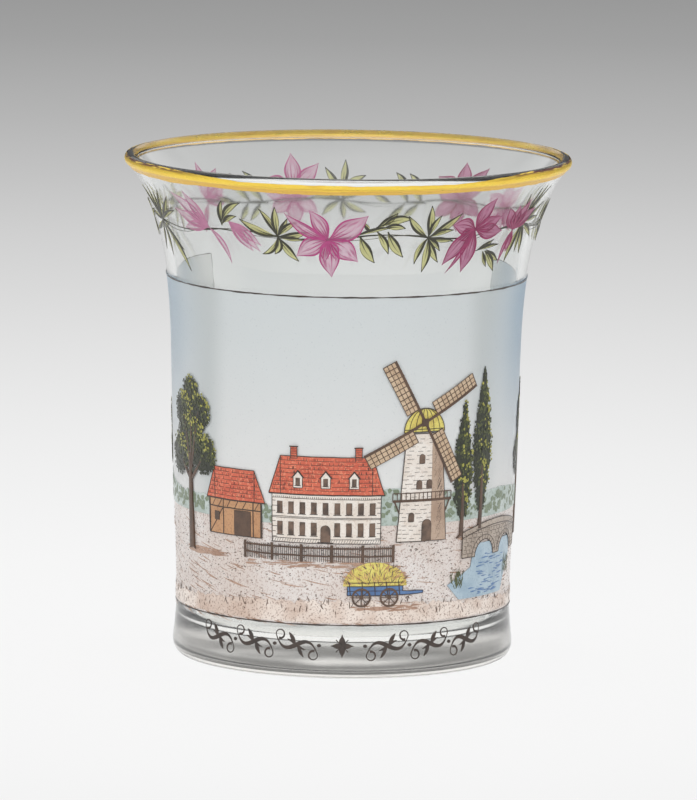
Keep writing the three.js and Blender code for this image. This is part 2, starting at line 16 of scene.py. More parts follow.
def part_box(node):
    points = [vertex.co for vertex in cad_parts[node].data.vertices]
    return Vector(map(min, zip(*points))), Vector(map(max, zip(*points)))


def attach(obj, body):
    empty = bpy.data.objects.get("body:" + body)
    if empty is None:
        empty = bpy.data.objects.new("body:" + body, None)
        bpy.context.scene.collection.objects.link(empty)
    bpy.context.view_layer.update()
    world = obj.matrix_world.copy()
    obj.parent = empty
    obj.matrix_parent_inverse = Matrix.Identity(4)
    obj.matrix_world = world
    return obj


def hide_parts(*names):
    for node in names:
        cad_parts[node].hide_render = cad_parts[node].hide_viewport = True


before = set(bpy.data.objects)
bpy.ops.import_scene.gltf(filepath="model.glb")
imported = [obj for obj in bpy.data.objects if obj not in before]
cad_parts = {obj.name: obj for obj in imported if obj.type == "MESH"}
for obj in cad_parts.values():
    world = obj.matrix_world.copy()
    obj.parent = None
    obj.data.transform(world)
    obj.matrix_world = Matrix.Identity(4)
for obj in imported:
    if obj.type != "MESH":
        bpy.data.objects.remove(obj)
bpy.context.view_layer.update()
scene = bpy.context.scene
scene.view_settings.view_transform = "Standard"
random.seed(7)

MM = 0.001
_, GLASS_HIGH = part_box("glass_body")

# The glass
LIP_TOP = GLASS_HIGH.z / MM
LIP_RADIUS = 1.05  # half the thickness of the rounded lip
LIP_CENTRE_RADIUS = GLASS_HIGH.x / MM - LIP_RADIUS
FLARE_ANGLE = 38  # lean of the wall just under the lip
WALL = 1.8
SHOULDER_RADIUS = 34.0  # outside, where the flare starts
SHOULDER_HEIGHT = 62
SHOULDER_SLOPE = 0.03  # how fast the outside widens there
SHOULDER_PULL = 17  # how far the body's line carries on into the flare
FLARE_PULL = 6.4  # how far the lip's line carries on down the flare
BELLY_RADIUS = 33.3
BELLY_HEIGHT = 38
WAIST_RADIUS = 32.45
WAIST_HEIGHT = 14
FOOT_RADIUS = 33.1
FOOT_HEIGHT = 3
STAND_RADIUS = 30.4  # outer edge of the ring that it stands on
KICK_RADIUS = 21  # inner edge of that ring
KICK_HEIGHT = 0.3
FLOOR_THICKNESS = 6.6
FLOOR_RISE = 0.7
FLOOR_FILLET = 3.2
TURNS = 256  # flats round the turned glass
BASE_BLUR = 0.12  # how rough the base's glass is, which blurs what shows through it
FLARE_BLUR = 0.05  # and the flare's

# Fired layers: each film's inner face stands off the glass by this much and then by a step for
# each layer under it
FILM_STAND = 0.04
FILM_STEP = 0.09
FILM = 0.06  # a film's thickness
PETAL_FILM = 0.05
DAB_FILM = 0.03
GILDING = 0.09
RIBBON_STEP = 0.006  # from one brush load to the next of the same film
BRUSH_FLATNESS = 0.35  # how far a line's round section stands off the glass
GILDING_OUTSIDE = 2.0  # below the lip's middle
GILDING_OVER = 58  # up over the lip where it goes furthest, in degrees from its outermost line

# The picture's field
PANEL_LEFT = -127
PANEL_RIGHT = 120
PANEL_LOW = 10.6
PANEL_HIGH = LIP_TOP - 23.5
PANEL_RISE = 1.2
HORIZON = 30.5
LAND_INSET = 4  # degrees of bare field beside the painted land

# The camera
VIEW_DISTANCE = 1.744  # metres, to the middle of the glass
VIEW_HEIGHT = LIP_TOP / 2
VIEW_ELEVATION = 8.17
VIEW_ROLL = 0.725
LENS = 402.7
SENSOR = 36
SHIFT = (0.0042, 0.0047)

# The studio, in metres
FLOOR_RADIUS = 3.2
FLOOR_GAP = 0.00005  # air under the foot, so that the glass mirrors inside as a real one does
FLOOR_SHOWN = 0.88  # how much of the floor's own colour shows through the shadow
# The floor's grey at distances from the glass
FLOOR_GREYS = [(0.0, 248.5), (0.13, 244.5), (0.213, 240.5), (0.285, 236.5), (0.363, 231),
               (0.446, 224.5), (0.537, 217), (0.652, 207.5), (0.79, 194), (0.943, 180),
               (1.056, 171), (1.179, 160.5), (1.296, 154), (1.8, 124)]

# The light tent: its strength, what it has more overhead and ahead, and how much of it is dark
# at its sides and, at three heights, at its back
TENT = 0.92
OVERHEAD = 0.4
FILL = 0.16
SIDES = 0.4
BACK_LOW = 0.82
BACK_MIDDLE = 0.3
BACK_HIGH = 0.66

# Colours, as red, green and blue out of 255
INK = (50, 41, 36)
INK_POOL = (74, 58, 48)
SEPIA = (120, 96, 80)
GOLD = (255, 220, 86)
GOLD_SHADE = (240, 194, 72)
# The next gold is painted shade, for its lower part that faces down
GOLD_UNDER_SHADE = (224, 180, 90)
# A dark purple-brown for places along the gold's upper edge
GOLD_DARK_EDGE = (92, 46, 44)
SKY_TOP = (229, 234, 235)
SKY_LOW = (244, 244, 243)
SKY_SIDE = (170, 194, 212)
# The next two are painted shade and painted light on the sky's wash
SKY_BAND_SHADE = (206, 212, 212)
SKY_BACKLIT = (252, 252, 250)
SKY_SPECK = (168, 178, 184)
GLASS_TINT = (253, 254, 253)
GLASS_CORD = (250, 252, 251)
GLASS_THICK = (253, 251, 246)
WHITE = (1.0, 1.0, 1.0, 1.0)  # as light
BLACK = (0.0, 0.0, 0.0, 1.0)


# Plain helpers


def linear(colour):
    """A colour out of 255, as light."""
    parts = [c / 255 for c in colour]
    return [c / 12.92 if c <= 0.04045 else ((c + 0.055) / 1.055) ** 2.4 for c in parts] + [1.0]


def lerp(a, b, share):
    return a + (b - a) * share


def clamped(value):
    return min(max(value, 0), 1)


def spread(low, high, steps):
    """Evenly spaced numbers, with both ends."""
    return [lerp(low, high, i / steps) for i in range(steps + 1)]


def turned_by(points, degrees):
    """Drawn points turned about their origin."""
    turn = math.radians(degrees)
    cos, sin = math.cos(turn), math.sin(turn)
    return [(x * cos - z * sin, x * sin + z * cos) for x, z in points]


def arc(across, up, radius, start, end, steps):
    """Points of an arc, in degrees from the right, counterclockwise."""
    turns = [math.radians(turn) for turn in spread(start, end, steps)]
    return [(across + radius * math.cos(t), up + radius * math.sin(t)) for t in turns]


def box_points(left, low, right, high):
    return [(left, low), (right, low), (right, high), (left, high)]


def arched(across, low, spring, half, margin, steps):
    """An opening's outline, with an arched top from the height where it springs."""
    left, right = across - half, across + half
    top = arc(across, spring, half, margin, 180 - margin, steps)
    return [(left, low), (right, low), (right, spring), *top, (left, spring)]


def along(points, step=1.2):
    """The same line with more points, never further apart than the step."""
    line = [points[0]]
    for a, b in zip(points, points[1:]):
        pieces = max(1, math.ceil(math.dist(a, b) / step))
        line += [(lerp(a[0], b[0], i / pieces), lerp(a[1], b[1], i / pieces))
                 for i in range(1, pieces + 1)]
    return line


def shaken(points, amount):
    """A line as a hand draws it."""
    return [(x + random.uniform(-amount, amount), z + random.uniform(-amount, amount))
            for x, z in points]


def around(radius, angle, height):
    """A place round the Z axis, in metres."""
    turn = math.radians(angle)
    return Vector((radius * math.sin(turn), -radius * math.cos(turn), height)) * MM


# The outline of the glass, as points (radius, 0, height)


def at(radius, height):
    return Vector((radius, 0, height))


def through(points, steps):
    """A smooth line through points."""
    ends = [points[0], *points, points[-1]]
    line = [points[0]]
    for before, a, b, after in zip(ends, ends[1:], ends[2:], ends[3:]):
        line += interpolate_bezier(a, a + (b - before) / 6, b - (after - a) / 6, b, steps + 1)[1:]
    return line


def on_line(places, line, place):
    """A point of a line, by its place among the places of the line's points."""
    i = min(max(bisect_right(places, place), 1), len(line) - 1)
    return line[i - 1].lerp(line[i], (place - places[i - 1]) / (places[i] - places[i - 1]))


lean = math.radians(FLARE_ANGLE)
flare_along = at(math.sin(lean), math.cos(lean))
flare_out = at(math.cos(lean), -math.sin(lean))
lip_centre = at(LIP_CENTRE_RADIUS, LIP_TOP - LIP_RADIUS)
lip_reach = math.sqrt(LIP_RADIUS ** 2 - (WALL / 2) ** 2)
lip_joint = lip_centre + flare_out * WALL / 2 - flare_along * lip_reach


def outside_line():
    """The outside of the wall, from the widest line of the foot up to the lip."""
    shoulder = at(SHOULDER_RADIUS, SHOULDER_HEIGHT)
    body = through([at(FOOT_RADIUS, FOOT_HEIGHT), at(WAIST_RADIUS, WAIST_HEIGHT),
                    at(BELLY_RADIUS, BELLY_HEIGHT), shoulder], 10)
    flare = interpolate_bezier(shoulder, shoulder + at(SHOULDER_SLOPE, 1) * SHOULDER_PULL,
                               lip_joint - at(math.tan(lean), 1) * FLARE_PULL, lip_joint, 31)
    return body + flare[1:]


outside = outside_line()
outside_heights = [p.z for p in outside]


def wall_radius(height):
    """The outside's radius at a height."""
    above = min(max(bisect_right(outside_heights, height), 1), len(outside) - 1)
    low, high = outside[above - 1], outside[above]
    return lerp(low.x, high.x, (height - low.z) / (high.z - low.z))


def inside_line():
    """The inside of the wall, from the lip down to the floor's fillet."""
    moved = []
    for before, middle, after in zip(outside[:1] + outside, outside, outside[1:] + outside[-1:]):
        way = (after - before).normalized()
        moved.append(middle + at(-way.z, way.x) * WALL)
    fillet_top = FLOOR_THICKNESS + FLOOR_FILLET
    return [p for p in moved if p.z > fillet_top + 1][::-1]


def round_points(centre, radius, start, end, steps):
    """Points of an arc about a centre."""
    return [centre + at(x, z) for x, z in arc(0, 0, radius, start, end, steps)]


def lip_line(stand, steps=28):
    """The lip's bead from the outside over the top to the inside, or a line that far off it."""
    opening = math.degrees(math.asin(WALL / 2 / LIP_RADIUS))
    start, end = -90 - FLARE_ANGLE + opening, 270 - FLARE_ANGLE - opening
    return round_points(lip_centre, LIP_RADIUS + stand, start, end, steps)


def glass_outline():
    """The glass's whole section, from the middle of its underside round to the middle of its
    floor."""
    kick = interpolate_bezier(at(0, KICK_HEIGHT), at(KICK_RADIUS / 3, KICK_HEIGHT),
                              at(KICK_RADIUS * 0.7, KICK_HEIGHT * 0.6), at(KICK_RADIUS, 0), 12)
    foot = interpolate_bezier(at(STAND_RADIUS, 0), at(lerp(STAND_RADIUS, FOOT_RADIUS, 0.67), 0),
                              at(FOOT_RADIUS, FOOT_HEIGHT / 3), at(FOOT_RADIUS, FOOT_HEIGHT), 9)
    inside = inside_line()
    fillet_centre = at(inside[-1].x - FLOOR_FILLET, FLOOR_THICKNESS + FLOOR_FILLET)
    fillet = round_points(fillet_centre, FLOOR_FILLET, 0, -90, 10)
    middle = FLOOR_THICKNESS + FLOOR_RISE
    centre = interpolate_bezier(fillet[-1], fillet[-1] - at(8, 0), at(8, middle), at(0, middle), 14)
    return kick + foot + outside[1:] + lip_line(0)[1:-1] + inside + fillet + centre[1:]


# Modelling helpers


def select_only(obj):
    bpy.ops.object.select_all(action="DESELECT")
    obj.select_set(True)
    bpy.context.view_layer.objects.active = obj


def started(name, add, *each):
    """A new object, made by running an operator once with each of these settings."""
    bpy.ops.object.select_all(action="DESELECT")
    add(**each[0])
    obj = bpy.context.object
    obj.name = name
    bpy.ops.object.mode_set(mode="EDIT")
    for settings in each[1:]:
        add(**settings)
    bpy.ops.object.mode_set(mode="OBJECT")
    return obj


def grid(name, columns, rows, count=1):
    """A new piece of unit grids, one on another."""
    settings = {"x_subdivisions": columns, "y_subdivisions": rows, "size": 1}
    return started(name, bpy.ops.mesh.primitive_grid_add, *[settings] * count)


def discs(name, corners, **settings):
    """A new piece of discs, one on another, by the number of corners of each."""
    each = [{"vertices": count, "fill_type": "NGON", **settings} for count in corners]
    return started(name, bpy.ops.mesh.primitive_circle_add, *each)


def in_edit_mode(obj, *steps):
    """Runs mesh operators on all of a piece."""
    select_only(obj)
    bpy.ops.object.mode_set(mode="EDIT")
    for step in steps:
        bpy.ops.mesh.select_all(action="SELECT")
        step()
    bpy.ops.object.mode_set(mode="OBJECT")


def merge_doubles():
    bpy.ops.mesh.remove_doubles(threshold=1e-6)


def thicken(obj, thickness=FILM):
    """Gives a sheet its thickness, away from the glass."""
    select_only(obj)
    wall = obj.modifiers.new("thickness", "SOLIDIFY")
    wall.thickness = thickness * MM
    wall.offset = 1
    bpy.ops.object.modifier_apply(modifier=wall.name)


def smooth(obj, degrees=35):
    select_only(obj)
    bpy.ops.object.shade_smooth_by_angle(angle=math.radians(degrees))


def on_glass(angle, height, stand):
    """A point on the outside of the glass, in metres."""
    return around(wall_radius(height) + stand, angle, height)


def wrap(obj, angle, height, layer):
    """Lays a drawing on the glass: its x runs round the girth from the angle, its z up from the
    height, and its -y stands off the wall."""
    girth = wall_radius(height)
    stand = FILM_STAND + layer * FILM_STEP
    for vertex in obj.data.vertices:
        across, depth, up = vertex.co
        vertex.co = on_glass(angle + math.degrees(across / girth), height + up, stand - depth)
    obj.data.update()
    return obj


def line_object(name, strokes):
    """A curve object with one straight-jointed line for each list of ((x, y, z), radius)."""
    obj = started(name, bpy.ops.curve.primitive_bezier_curve_add, {})
    obj.data.splines.clear()
    for stroke in strokes:
        spline = obj.data.splines.new("POLY")
        spline.points.add(len(stroke) - 1)
        for point, (place, radius) in zip(spline.points, stroke):
            point.co = (*place, 1)
            point.radius = radius
    return obj


def turned(name, outline):
    """A body turned about the Z axis from an outline."""
    obj = line_object(name, [[(tuple(p * MM), 1) for p in outline]])
    bpy.ops.object.convert(target="MESH")
    in_edit_mode(
        obj,
        lambda: bpy.ops.mesh.spin(steps=TURNS, angle=2 * math.pi, center=(0, 0, 0), axis=(0, 0, 1)),
        merge_doubles,
        lambda: bpy.ops.mesh.normals_make_consistent(inside=False),
    )
    return obj


def drawn(name, outlines, across_step=1.4, up_step=6.0):
    """A flat piece in the plane of the drawing, with one face for each outline of (across, up)
    points."""
    obj = discs(name, [len(outline) for outline in outlines])
    corners = []
    for outline in outlines:
        area = sum(a[0] * b[1] - b[0] * a[1] for a, b in zip(outline, outline[1:] + outline[:1]))
        corners += outline if area > 0 else outline[::-1]
    for vertex, (x, z) in zip(obj.data.vertices, corners):
        vertex.co = (x, 0, z)

    def cut(values, step, normal):
        for i in range(math.floor(min(values) / step) + 1, math.ceil(max(values) / step)):
            bpy.ops.mesh.select_all(action="SELECT")
            bpy.ops.mesh.bisect(plane_co=Vector(normal) * (i * step), plane_no=normal)

    in_edit_mode(
        obj,
        bpy.ops.mesh.quads_convert_to_tris,
        lambda: cut([x for x, z in corners], across_step, (1, 0, 0)),
        lambda: cut([z for x, z in corners], up_step, (0, 0, 1)),
    )
    return obj


def brushed(name, strokes):
    """Brush lines in the plane of the drawing: each is a list of (across, up) points and its
    widths, one number or a function of the share of its length."""
    weighted = []
    for points, width in strokes:
        count = len(points) - 1
        widths = [width(i / count) if callable(width) else width for i in range(count + 1)]
        weighted.append([((x, 0, z), w) for (x, z), w in zip(points, widths)])
    obj = line_object(name, weighted)
    obj.data.dimensions = "3D"
    obj.data.bevel_depth = 0.5
    obj.data.bevel_resolution = 1
    obj.data.use_fill_caps = True
    bpy.ops.object.convert(target="MESH")
    for vertex in obj.data.vertices:
        vertex.co.y *= BRUSH_FLATNESS
    return obj


def tapered(width, start=0.35, end=0.1):
    """A stroke's width: the brush lands, presses and lifts."""
    return lambda share: width * (start + (1 - start) * min(1, share * 4)) * (
        1 if share < 0.45 else lerp(1, end, (share - 0.45) / 0.55))


def swelling(least, most, power=1.0, start=0.0, end=1.0):
    """A stroke's width, fullest at its middle, or a part of such a stroke."""
    return lambda share: lerp(least, most, math.sin(
        math.pi * min(lerp(start, end, share), 1)) ** power)


def copies(name, template, places):
    """One piece made of a copy of a template at each place."""
    joined = bmesh.new()
    for place in places:
        one = template.data.copy()
        one.transform(place)
        joined.from_mesh(one)
        bpy.data.meshes.remove(one)
    mesh = bpy.data.meshes.new(name)
    joined.to_mesh(mesh)
    joined.free()
    obj = bpy.data.objects.new(name, mesh)
    scene.collection.objects.link(obj)
    return obj


def field(name, from_angle, to_angle, low_at, high_at, layer, rows=36):
    """A film between two angles and two heights that change with the angle."""
    obj = grid(name, columns=220, rows=rows)
    stand = FILM_STAND + layer * FILM_STEP
    for vertex in obj.data.vertices:
        angle = lerp(from_angle, to_angle, vertex.co.x + 0.5)
        height = lerp(low_at(angle), high_at(angle), vertex.co.y + 0.5)
        vertex.co = on_glass(angle, height, stand)
    obj.data.update()
    thicken(obj)
    smooth(obj)
    return obj


def finish(obj, material, slot, *nodes):
    """Gives a finished piece its material, hangs it on the root and hides the CAD nodes that it
    stands for. The slot is not used.
    """
    obj.data.materials.clear()
    obj.data.materials.append(material)
    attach(obj, "root")
    if nodes:
        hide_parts(*nodes)


# Shaders


class Graph:
    """A node tree, with a short call for each node that it needs. What goes into a node is a
    plain value or the socket that it comes from."""

    def __init__(self, tree):
        self.tree = tree

    def feed(self, node, inputs):
        """Fills a node's inputs, by number or by name with _ for a space."""
        for label, value in inputs.items():
            socket = node.inputs[label.replace("_", " ") if isinstance(label, str) else label]
            if isinstance(value, bpy.types.NodeSocket):
                self.tree.links.new(value, socket)
            else:
                socket.default_value = value

    def node(self, kind, inputs=(), **settings):
        made = self.tree.nodes.new("ShaderNode" + kind)
        for label, value in settings.items():
            setattr(made, label, value)
        self.feed(made, dict(inputs))
        return made

    def coords(self, kind="Object"):
        return self.node("TexCoord").outputs[kind]

    def split(self, vector):
        return self.node("SeparateXYZ", {0: vector}).outputs

    def joined(self, x, y):
        return self.node("CombineXYZ", {0: x, 1: y}).outputs[0]

    def vectors(self, operation, a, b):
        return self.node("VectorMath", {0: a, 1: b}, operation=operation).outputs[0]

    def noise_on(self, place, scale, detail=3.0, roughness=0.55):
        inputs = {"Vector": place, "Scale": scale, "Detail": detail, "Roughness": roughness}
        return self.node("TexNoise", inputs).outputs["Fac"]

    def maths(self, operation, a, b=0.0):
        return self.node("Math", {0: a, 1: b}, operation=operation).outputs[0]

    def times(self, *values):
        return reduce(lambda a, b: self.maths("MULTIPLY", a, b), values)

    def plus(self, a, b):
        return self.maths("ADD", a, b)

    def most(self, *values):
        return reduce(lambda a, b: self.maths("MAXIMUM", a, b), values)

    def off(self, value, middle):
        """How far a value is from a middle, either way."""
        return self.maths("ABSOLUTE", self.maths("SUBTRACT", value, middle))

    def ranged(self, value, from_low, from_high, to_low=0.0, to_high=1.0):
        """A value taken smoothly from one range to another, and kept in it."""
        inputs = {0: value, 1: from_low, 2: from_high, 3: to_low, 4: to_high}
        return self.node("MapRange", inputs, interpolation_type="SMOOTHSTEP").outputs[0]

    def mixed(self, share, a, b):
        """A mix of two colours."""
        return self.node("Mix", {0: share, 6: a, 7: b}, data_type="RGBA").outputs[2]

    def between(self, share, a, b):
        """A mix of two numbers."""
        return self.node("Mix", {0: share, 2: a, 3: b}, data_type="FLOAT").outputs[0]

    def bump(self, height, strength, distance):
        inputs = {"Strength": strength, "Distance": distance, "Height": height}
        return self.node("Bump", inputs).outputs[0]

    def show(self, share, a, b):
        """Makes the material a mix of two shaders."""
        both = self.node("MixShader", {0: share, 1: a.outputs[0], 2: b.outputs[0]})
        self.feed(self.tree.nodes["Material Output"], {0: both.outputs[0]})


def new_group(name, inputs):
    """A node group's graph and what goes into it, which are numbers or colours."""
    tree = bpy.data.node_groups.new(name, "ShaderNodeTree")
    for label, value in inputs.items():
        kind = "NodeSocketFloat" if isinstance(value, float) else "NodeSocketColor"
        tree.interface.new_socket(label, in_out="INPUT", socket_type=kind).default_value = value
    return Graph(tree), tree.nodes.new("NodeGroupInput").outputs


def close_group(graph, outputs):
    """Gives a group what comes out of it."""
    for label, value in outputs.items():
        kind = "NodeSocketColor" if value.type == "RGBA" else "NodeSocketFloat"
        graph.tree.interface.new_socket(label, in_out="OUTPUT", socket_type=kind)
    graph.feed(graph.tree.nodes.new("NodeGroupOutput"), outputs)
    return graph.tree


def fired_colour_group():
    """An enamel laid by brush and fired: cloudy where it pooled, with a fine grain."""
    graph, given = new_group("fired_colour", {
        "Colour": WHITE, "Pooled": WHITE, "Cloud scale": 150.0, "Cloud": 0.6, "Grain": BLACK,
        "Grain scale": 2500.0, "Grain share": 0.2})
    place = graph.coords()
    cloud = graph.ranged(graph.noise_on(place, given["Cloud scale"]), 0.35, 0.68)
    cloud = graph.times(cloud, given["Cloud"])
    grain_noise = graph.noise_on(place, given["Grain scale"], 2.0, 0.6)
    grain = graph.ranged(grain_noise, 0.52, 0.66)
    body = graph.mixed(cloud, given["Colour"], given["Pooled"])
    return close_group(graph, {
        "Colour": graph.mixed(graph.times(grain, given["Grain share"]), body, given["Grain"]),
        "Roughness": graph.ranged(grain_noise, 0.3, 0.7, 0.3, 0.5),
        "Height": graph.plus(cloud, grain)})


def petal_brush_group():
    """A brush load drawn from a root to a tip: deep at the root, at the sides and in streaks. It
    reads the piece's own map, along it from root to tip and across it from side to side."""
    graph, given = new_group("petal_brush", {
        "Light": WHITE, "Deep": BLACK, "Streaks": 0.5, "Sides": 0.5, "Thin": 0.5, "Full": 0.8,
        "Lean": 0.0})
    lengthways, crossways, _ = graph.split(graph.coords("UV"))
    off_middle = graph.maths("SUBTRACT", crossways, 0.5)
    one_side = graph.between(given["Lean"], graph.maths("ABSOLUTE", off_middle), off_middle)
    side = graph.ranged(one_side, 0.2, 0.48)
    root = graph.ranged(lengthways, 0.0, 0.42, 1.0, 0.0)
    stretched = graph.joined(graph.times(lengthways, 1.6), graph.times(crossways, 9.0))
    apart = graph.vectors("MULTIPLY", graph.coords(), (300.0, 300.0, 300.0))
    streak_noise = graph.noise_on(graph.vectors("ADD", stretched, apart), 1.0, 2.0, 0.5)
    streak = graph.ranged(streak_noise, 0.46, 0.66)
    deep = graph.most(graph.times(side, given["Sides"]), graph.times(root, 0.8),
                      graph.times(streak, given["Streaks"]))
    return close_group(graph, {
        "Colour": graph.mixed(deep, given["Light"], given["Deep"]),
        "Cover": graph.between(deep, given["Thin"], given["Full"]),
        "Height": streak_noise})


fired_colour = fired_colour_group()
petal_brush = petal_brush_group()


def shader(name, **values):
    """A new material, its graph and its Principled node."""
    made = bpy.data.materials.new(name)
    made.use_nodes = True
    graph = Graph(made.node_tree)
    skin = graph.tree.nodes["Principled BSDF"]
    graph.feed(skin, values)
    return made, graph, skin


def enamel(name, colour, pooled, grain, cloud, cloud_scale, grain_scale, grain_share):
    """A fired enamel. The ground's lets a little light through."""
    made, graph, skin = shader(name, Coat_Weight=0.3, Coat_Roughness=0.15,
                               Transmission_Weight=0.2 if name == "earth_enamel" else 0.0)
    paint = graph.node("Group", {
        "Colour": linear(colour), "Pooled": linear(pooled), "Grain": linear(grain),
        "Cloud": cloud, "Cloud scale": cloud_scale, "Grain scale": grain_scale,
        "Grain share": grain_share}, node_tree=fired_colour).outputs
    graph.feed(skin, {"Base Color": paint["Colour"], "Roughness": paint["Roughness"],
                      "Normal": graph.bump(paint["Height"], 0.25, 0.00003)})
    return made


def brush_load(name, light, deep, thin, full, streaks, sides, lean):
    """A see-through brush load of enamel, for petals and leaves. A lean of 1 darkens one side."""
    made, graph, skin = shader(name, Roughness=0.4, Coat_Weight=0.3, Transmission_Weight=0.5,
                               IOR=1.2)
    paint = graph.node("Group", {
        "Light": linear(light), "Deep": linear(deep), "Thin": thin, "Full": full,
        "Streaks": streaks, "Sides": sides, "Lean": lean}, node_tree=petal_brush).outputs
    graph.feed(skin, {"Base Color": paint["Colour"], "Alpha": paint["Cover"],
                      "Normal": graph.bump(paint["Height"], 0.3, 0.00003)})
    return made


def clear_glass():
    """Clear glass with faint cords, less clear in its base. It throws no shadow."""
    made, graph, skin = shader("clear_glass", Transmission_Weight=1.0, IOR=1.5)
    place = graph.coords()
    height = graph.split(place)[2]
    cords = graph.noise_on(place, 28, 2.0, 0.4)
    soft = graph.plus(graph.ranged(height, 0.083, 0.09, 0.0, FLARE_BLUR),
                      graph.ranged(height, 0.008, 0.0115, BASE_BLUR, 0.0))
    tint = graph.mixed(graph.ranged(cords, 0.3, 0.7), linear(GLASS_TINT), linear(GLASS_CORD))
    thick = graph.ranged(height, 0.0055, 0.0085, 1.0, 0.0)
    under = graph.ranged(height, 0.0004, 0.001, 5.0, 0.0)
    waves = graph.plus(cords, graph.times(graph.noise_on(place, 75, 1.0, 0.4), under))
    graph.feed(skin, {"Base Color": graph.mixed(thick, tint, linear(GLASS_THICK)),
                      "Roughness": soft, "Normal": graph.bump(waves, 0.12, 0.0004)})
    rays = graph.node("LightPath").outputs
    unseen = graph.most(rays["Is Shadow Ray"], rays["Is Diffuse Ray"])
    graph.show(unseen, skin, graph.node("BsdfTransparent"))
    return made


def gilding():
    """Burnished gold, brushed round the lip, thin and broken at its edges, darker in places along
    its upper edge towards the sides, and with painted shade that browns its lower part."""
    made, graph, skin = shader("gilding", Metallic=0.5)
    girth, up, _ = graph.split(graph.coords("UV"))
    brush_place = graph.joined(graph.times(girth, 60.0), graph.times(up, 9.0))
    brush = graph.noise_on(brush_place, 1.0, 4.0, 0.6)
    patches = graph.noise_on(graph.coords(), 90, 3.0, 0.5)
    tone = graph.times(graph.ranged(brush, 0.4, 0.7), graph.ranged(patches, 0.3, 0.65))
    gold = graph.mixed(tone, linear(GOLD), linear(GOLD_SHADE))
    # Painted shade: the gold's lower part, which faces down, goes browner
    lower = graph.plus(up, graph.times(patches, 0.3))
    gold = graph.mixed(graph.ranged(lower, 0.5, 0.68, 0.85, 0.0), gold, linear(GOLD_UNDER_SHADE))
    aside = graph.off(girth, 0.5)
    at_side = graph.times(graph.ranged(aside, 0.1, 0.15), graph.ranged(aside, 0.24, 0.3, 1.0, 0.0))
    # Darker, purple-brown in places along the upper edge towards the sides
    dark_edge = graph.times(graph.ranged(up, 0.74, 0.92), at_side, graph.ranged(brush, 0.38, 0.5))
    edge = graph.ranged(graph.off(up, 0.5), 0.4, 0.5)
    gone = graph.maths("GREATER_THAN", graph.times(edge, brush), 0.5)
    graph.feed(skin, {"Base Color": graph.mixed(dark_edge, gold, linear(GOLD_DARK_EDGE)),
                      "Roughness": graph.ranged(brush, 0.3, 0.7, 0.24, 0.45),
                      "Normal": graph.bump(brush, 0.3, 0.00006),
                      "Alpha": graph.maths("SUBTRACT", 1.0, gone)})
    return made


def sky_enamel():
    """A frosted blue wash, thinner and paler towards the land and bluer at the sides, with painted
    shade and painted light on it.
    """
    made, graph, skin = shader("sky_enamel", Transmission_Weight=0.3, IOR=1.2,
                               Coat_Weight=0.25, Coat_Roughness=0.2)
    place = graph.coords()
    x, y, z = graph.split(place)
    wash = graph.noise_on(place, 40, 4.0, 0.5)
    up = graph.ranged(graph.plus(z, graph.times(wash, 0.008)), 0.034, 0.078)
    blue = graph.mixed(up, linear(SKY_LOW), linear(SKY_TOP))
    # Painted shade: two darker bands at the front's sides, where the back of the picture behind would
    # keep out light
    pooled = graph.times(graph.ranged(graph.maths("ABSOLUTE", x), 0.0225, 0.0265),
                         graph.ranged(y, -0.022, -0.014, 1.0, 0.0))
    blue = graph.mixed(graph.times(pooled, 0.6), blue, linear(SKY_BAND_SHADE))
    # Painted light: the back half, seen from inside, is paler, most on the left, as if lit from
    # behind
    thin = graph.times(graph.ranged(y, 0.004, 0.014), graph.ranged(x, -0.01, 0.01, 0.85, 0.2))
    blue = graph.mixed(thin, blue, linear(SKY_BACKLIT))
    # The sides are bluer higher up, and more so on the right, where the extra blue is painted shade
    at_side = graph.times(graph.ranged(y, -0.024, -0.004), graph.ranged(y, 0.006, 0.02, 1.0, 0.0))
    right_shade = graph.ranged(x, -0.02, 0.02, 0.7, 1.0)
    blue = graph.mixed(graph.times(at_side, right_shade, up), blue, linear(SKY_SIDE))
    grain = graph.noise_on(place, 2600, 2.0, 0.6)
    specks = graph.ranged(grain, 0.62, 0.74, 0.0, 0.25)
    graph.feed(skin, {"Base Color": graph.mixed(specks, blue, linear(SKY_SPECK)),
                      "Roughness": graph.ranged(grain, 0.3, 0.7, 0.35, 0.5),
                      "Normal": graph.bump(grain, 0.3, 0.00002)})
    return made


# The studio


def add_camera():
    data = bpy.data.cameras.new("camera")
    data.lens = LENS
    data.sensor_fit = "VERTICAL"
    data.sensor_height = SENSOR
    data.shift_x, data.shift_y = SHIFT
    data.clip_end = 50
    camera = bpy.data.objects.new("camera", data)
    scene.collection.objects.link(camera)
    rise = math.radians(VIEW_ELEVATION)
    target = Vector((0, 0, VIEW_HEIGHT * MM))
    camera.location = target + Vector((0, -math.cos(rise), math.sin(rise))) * VIEW_DISTANCE
    tilt = Matrix.Rotation(math.pi / 2 - rise, 4, "X")
    roll = Matrix.Rotation(math.radians(VIEW_ROLL), 4, "Z")
    camera.rotation_euler = (tilt @ roll).to_euler()
    scene.camera = camera


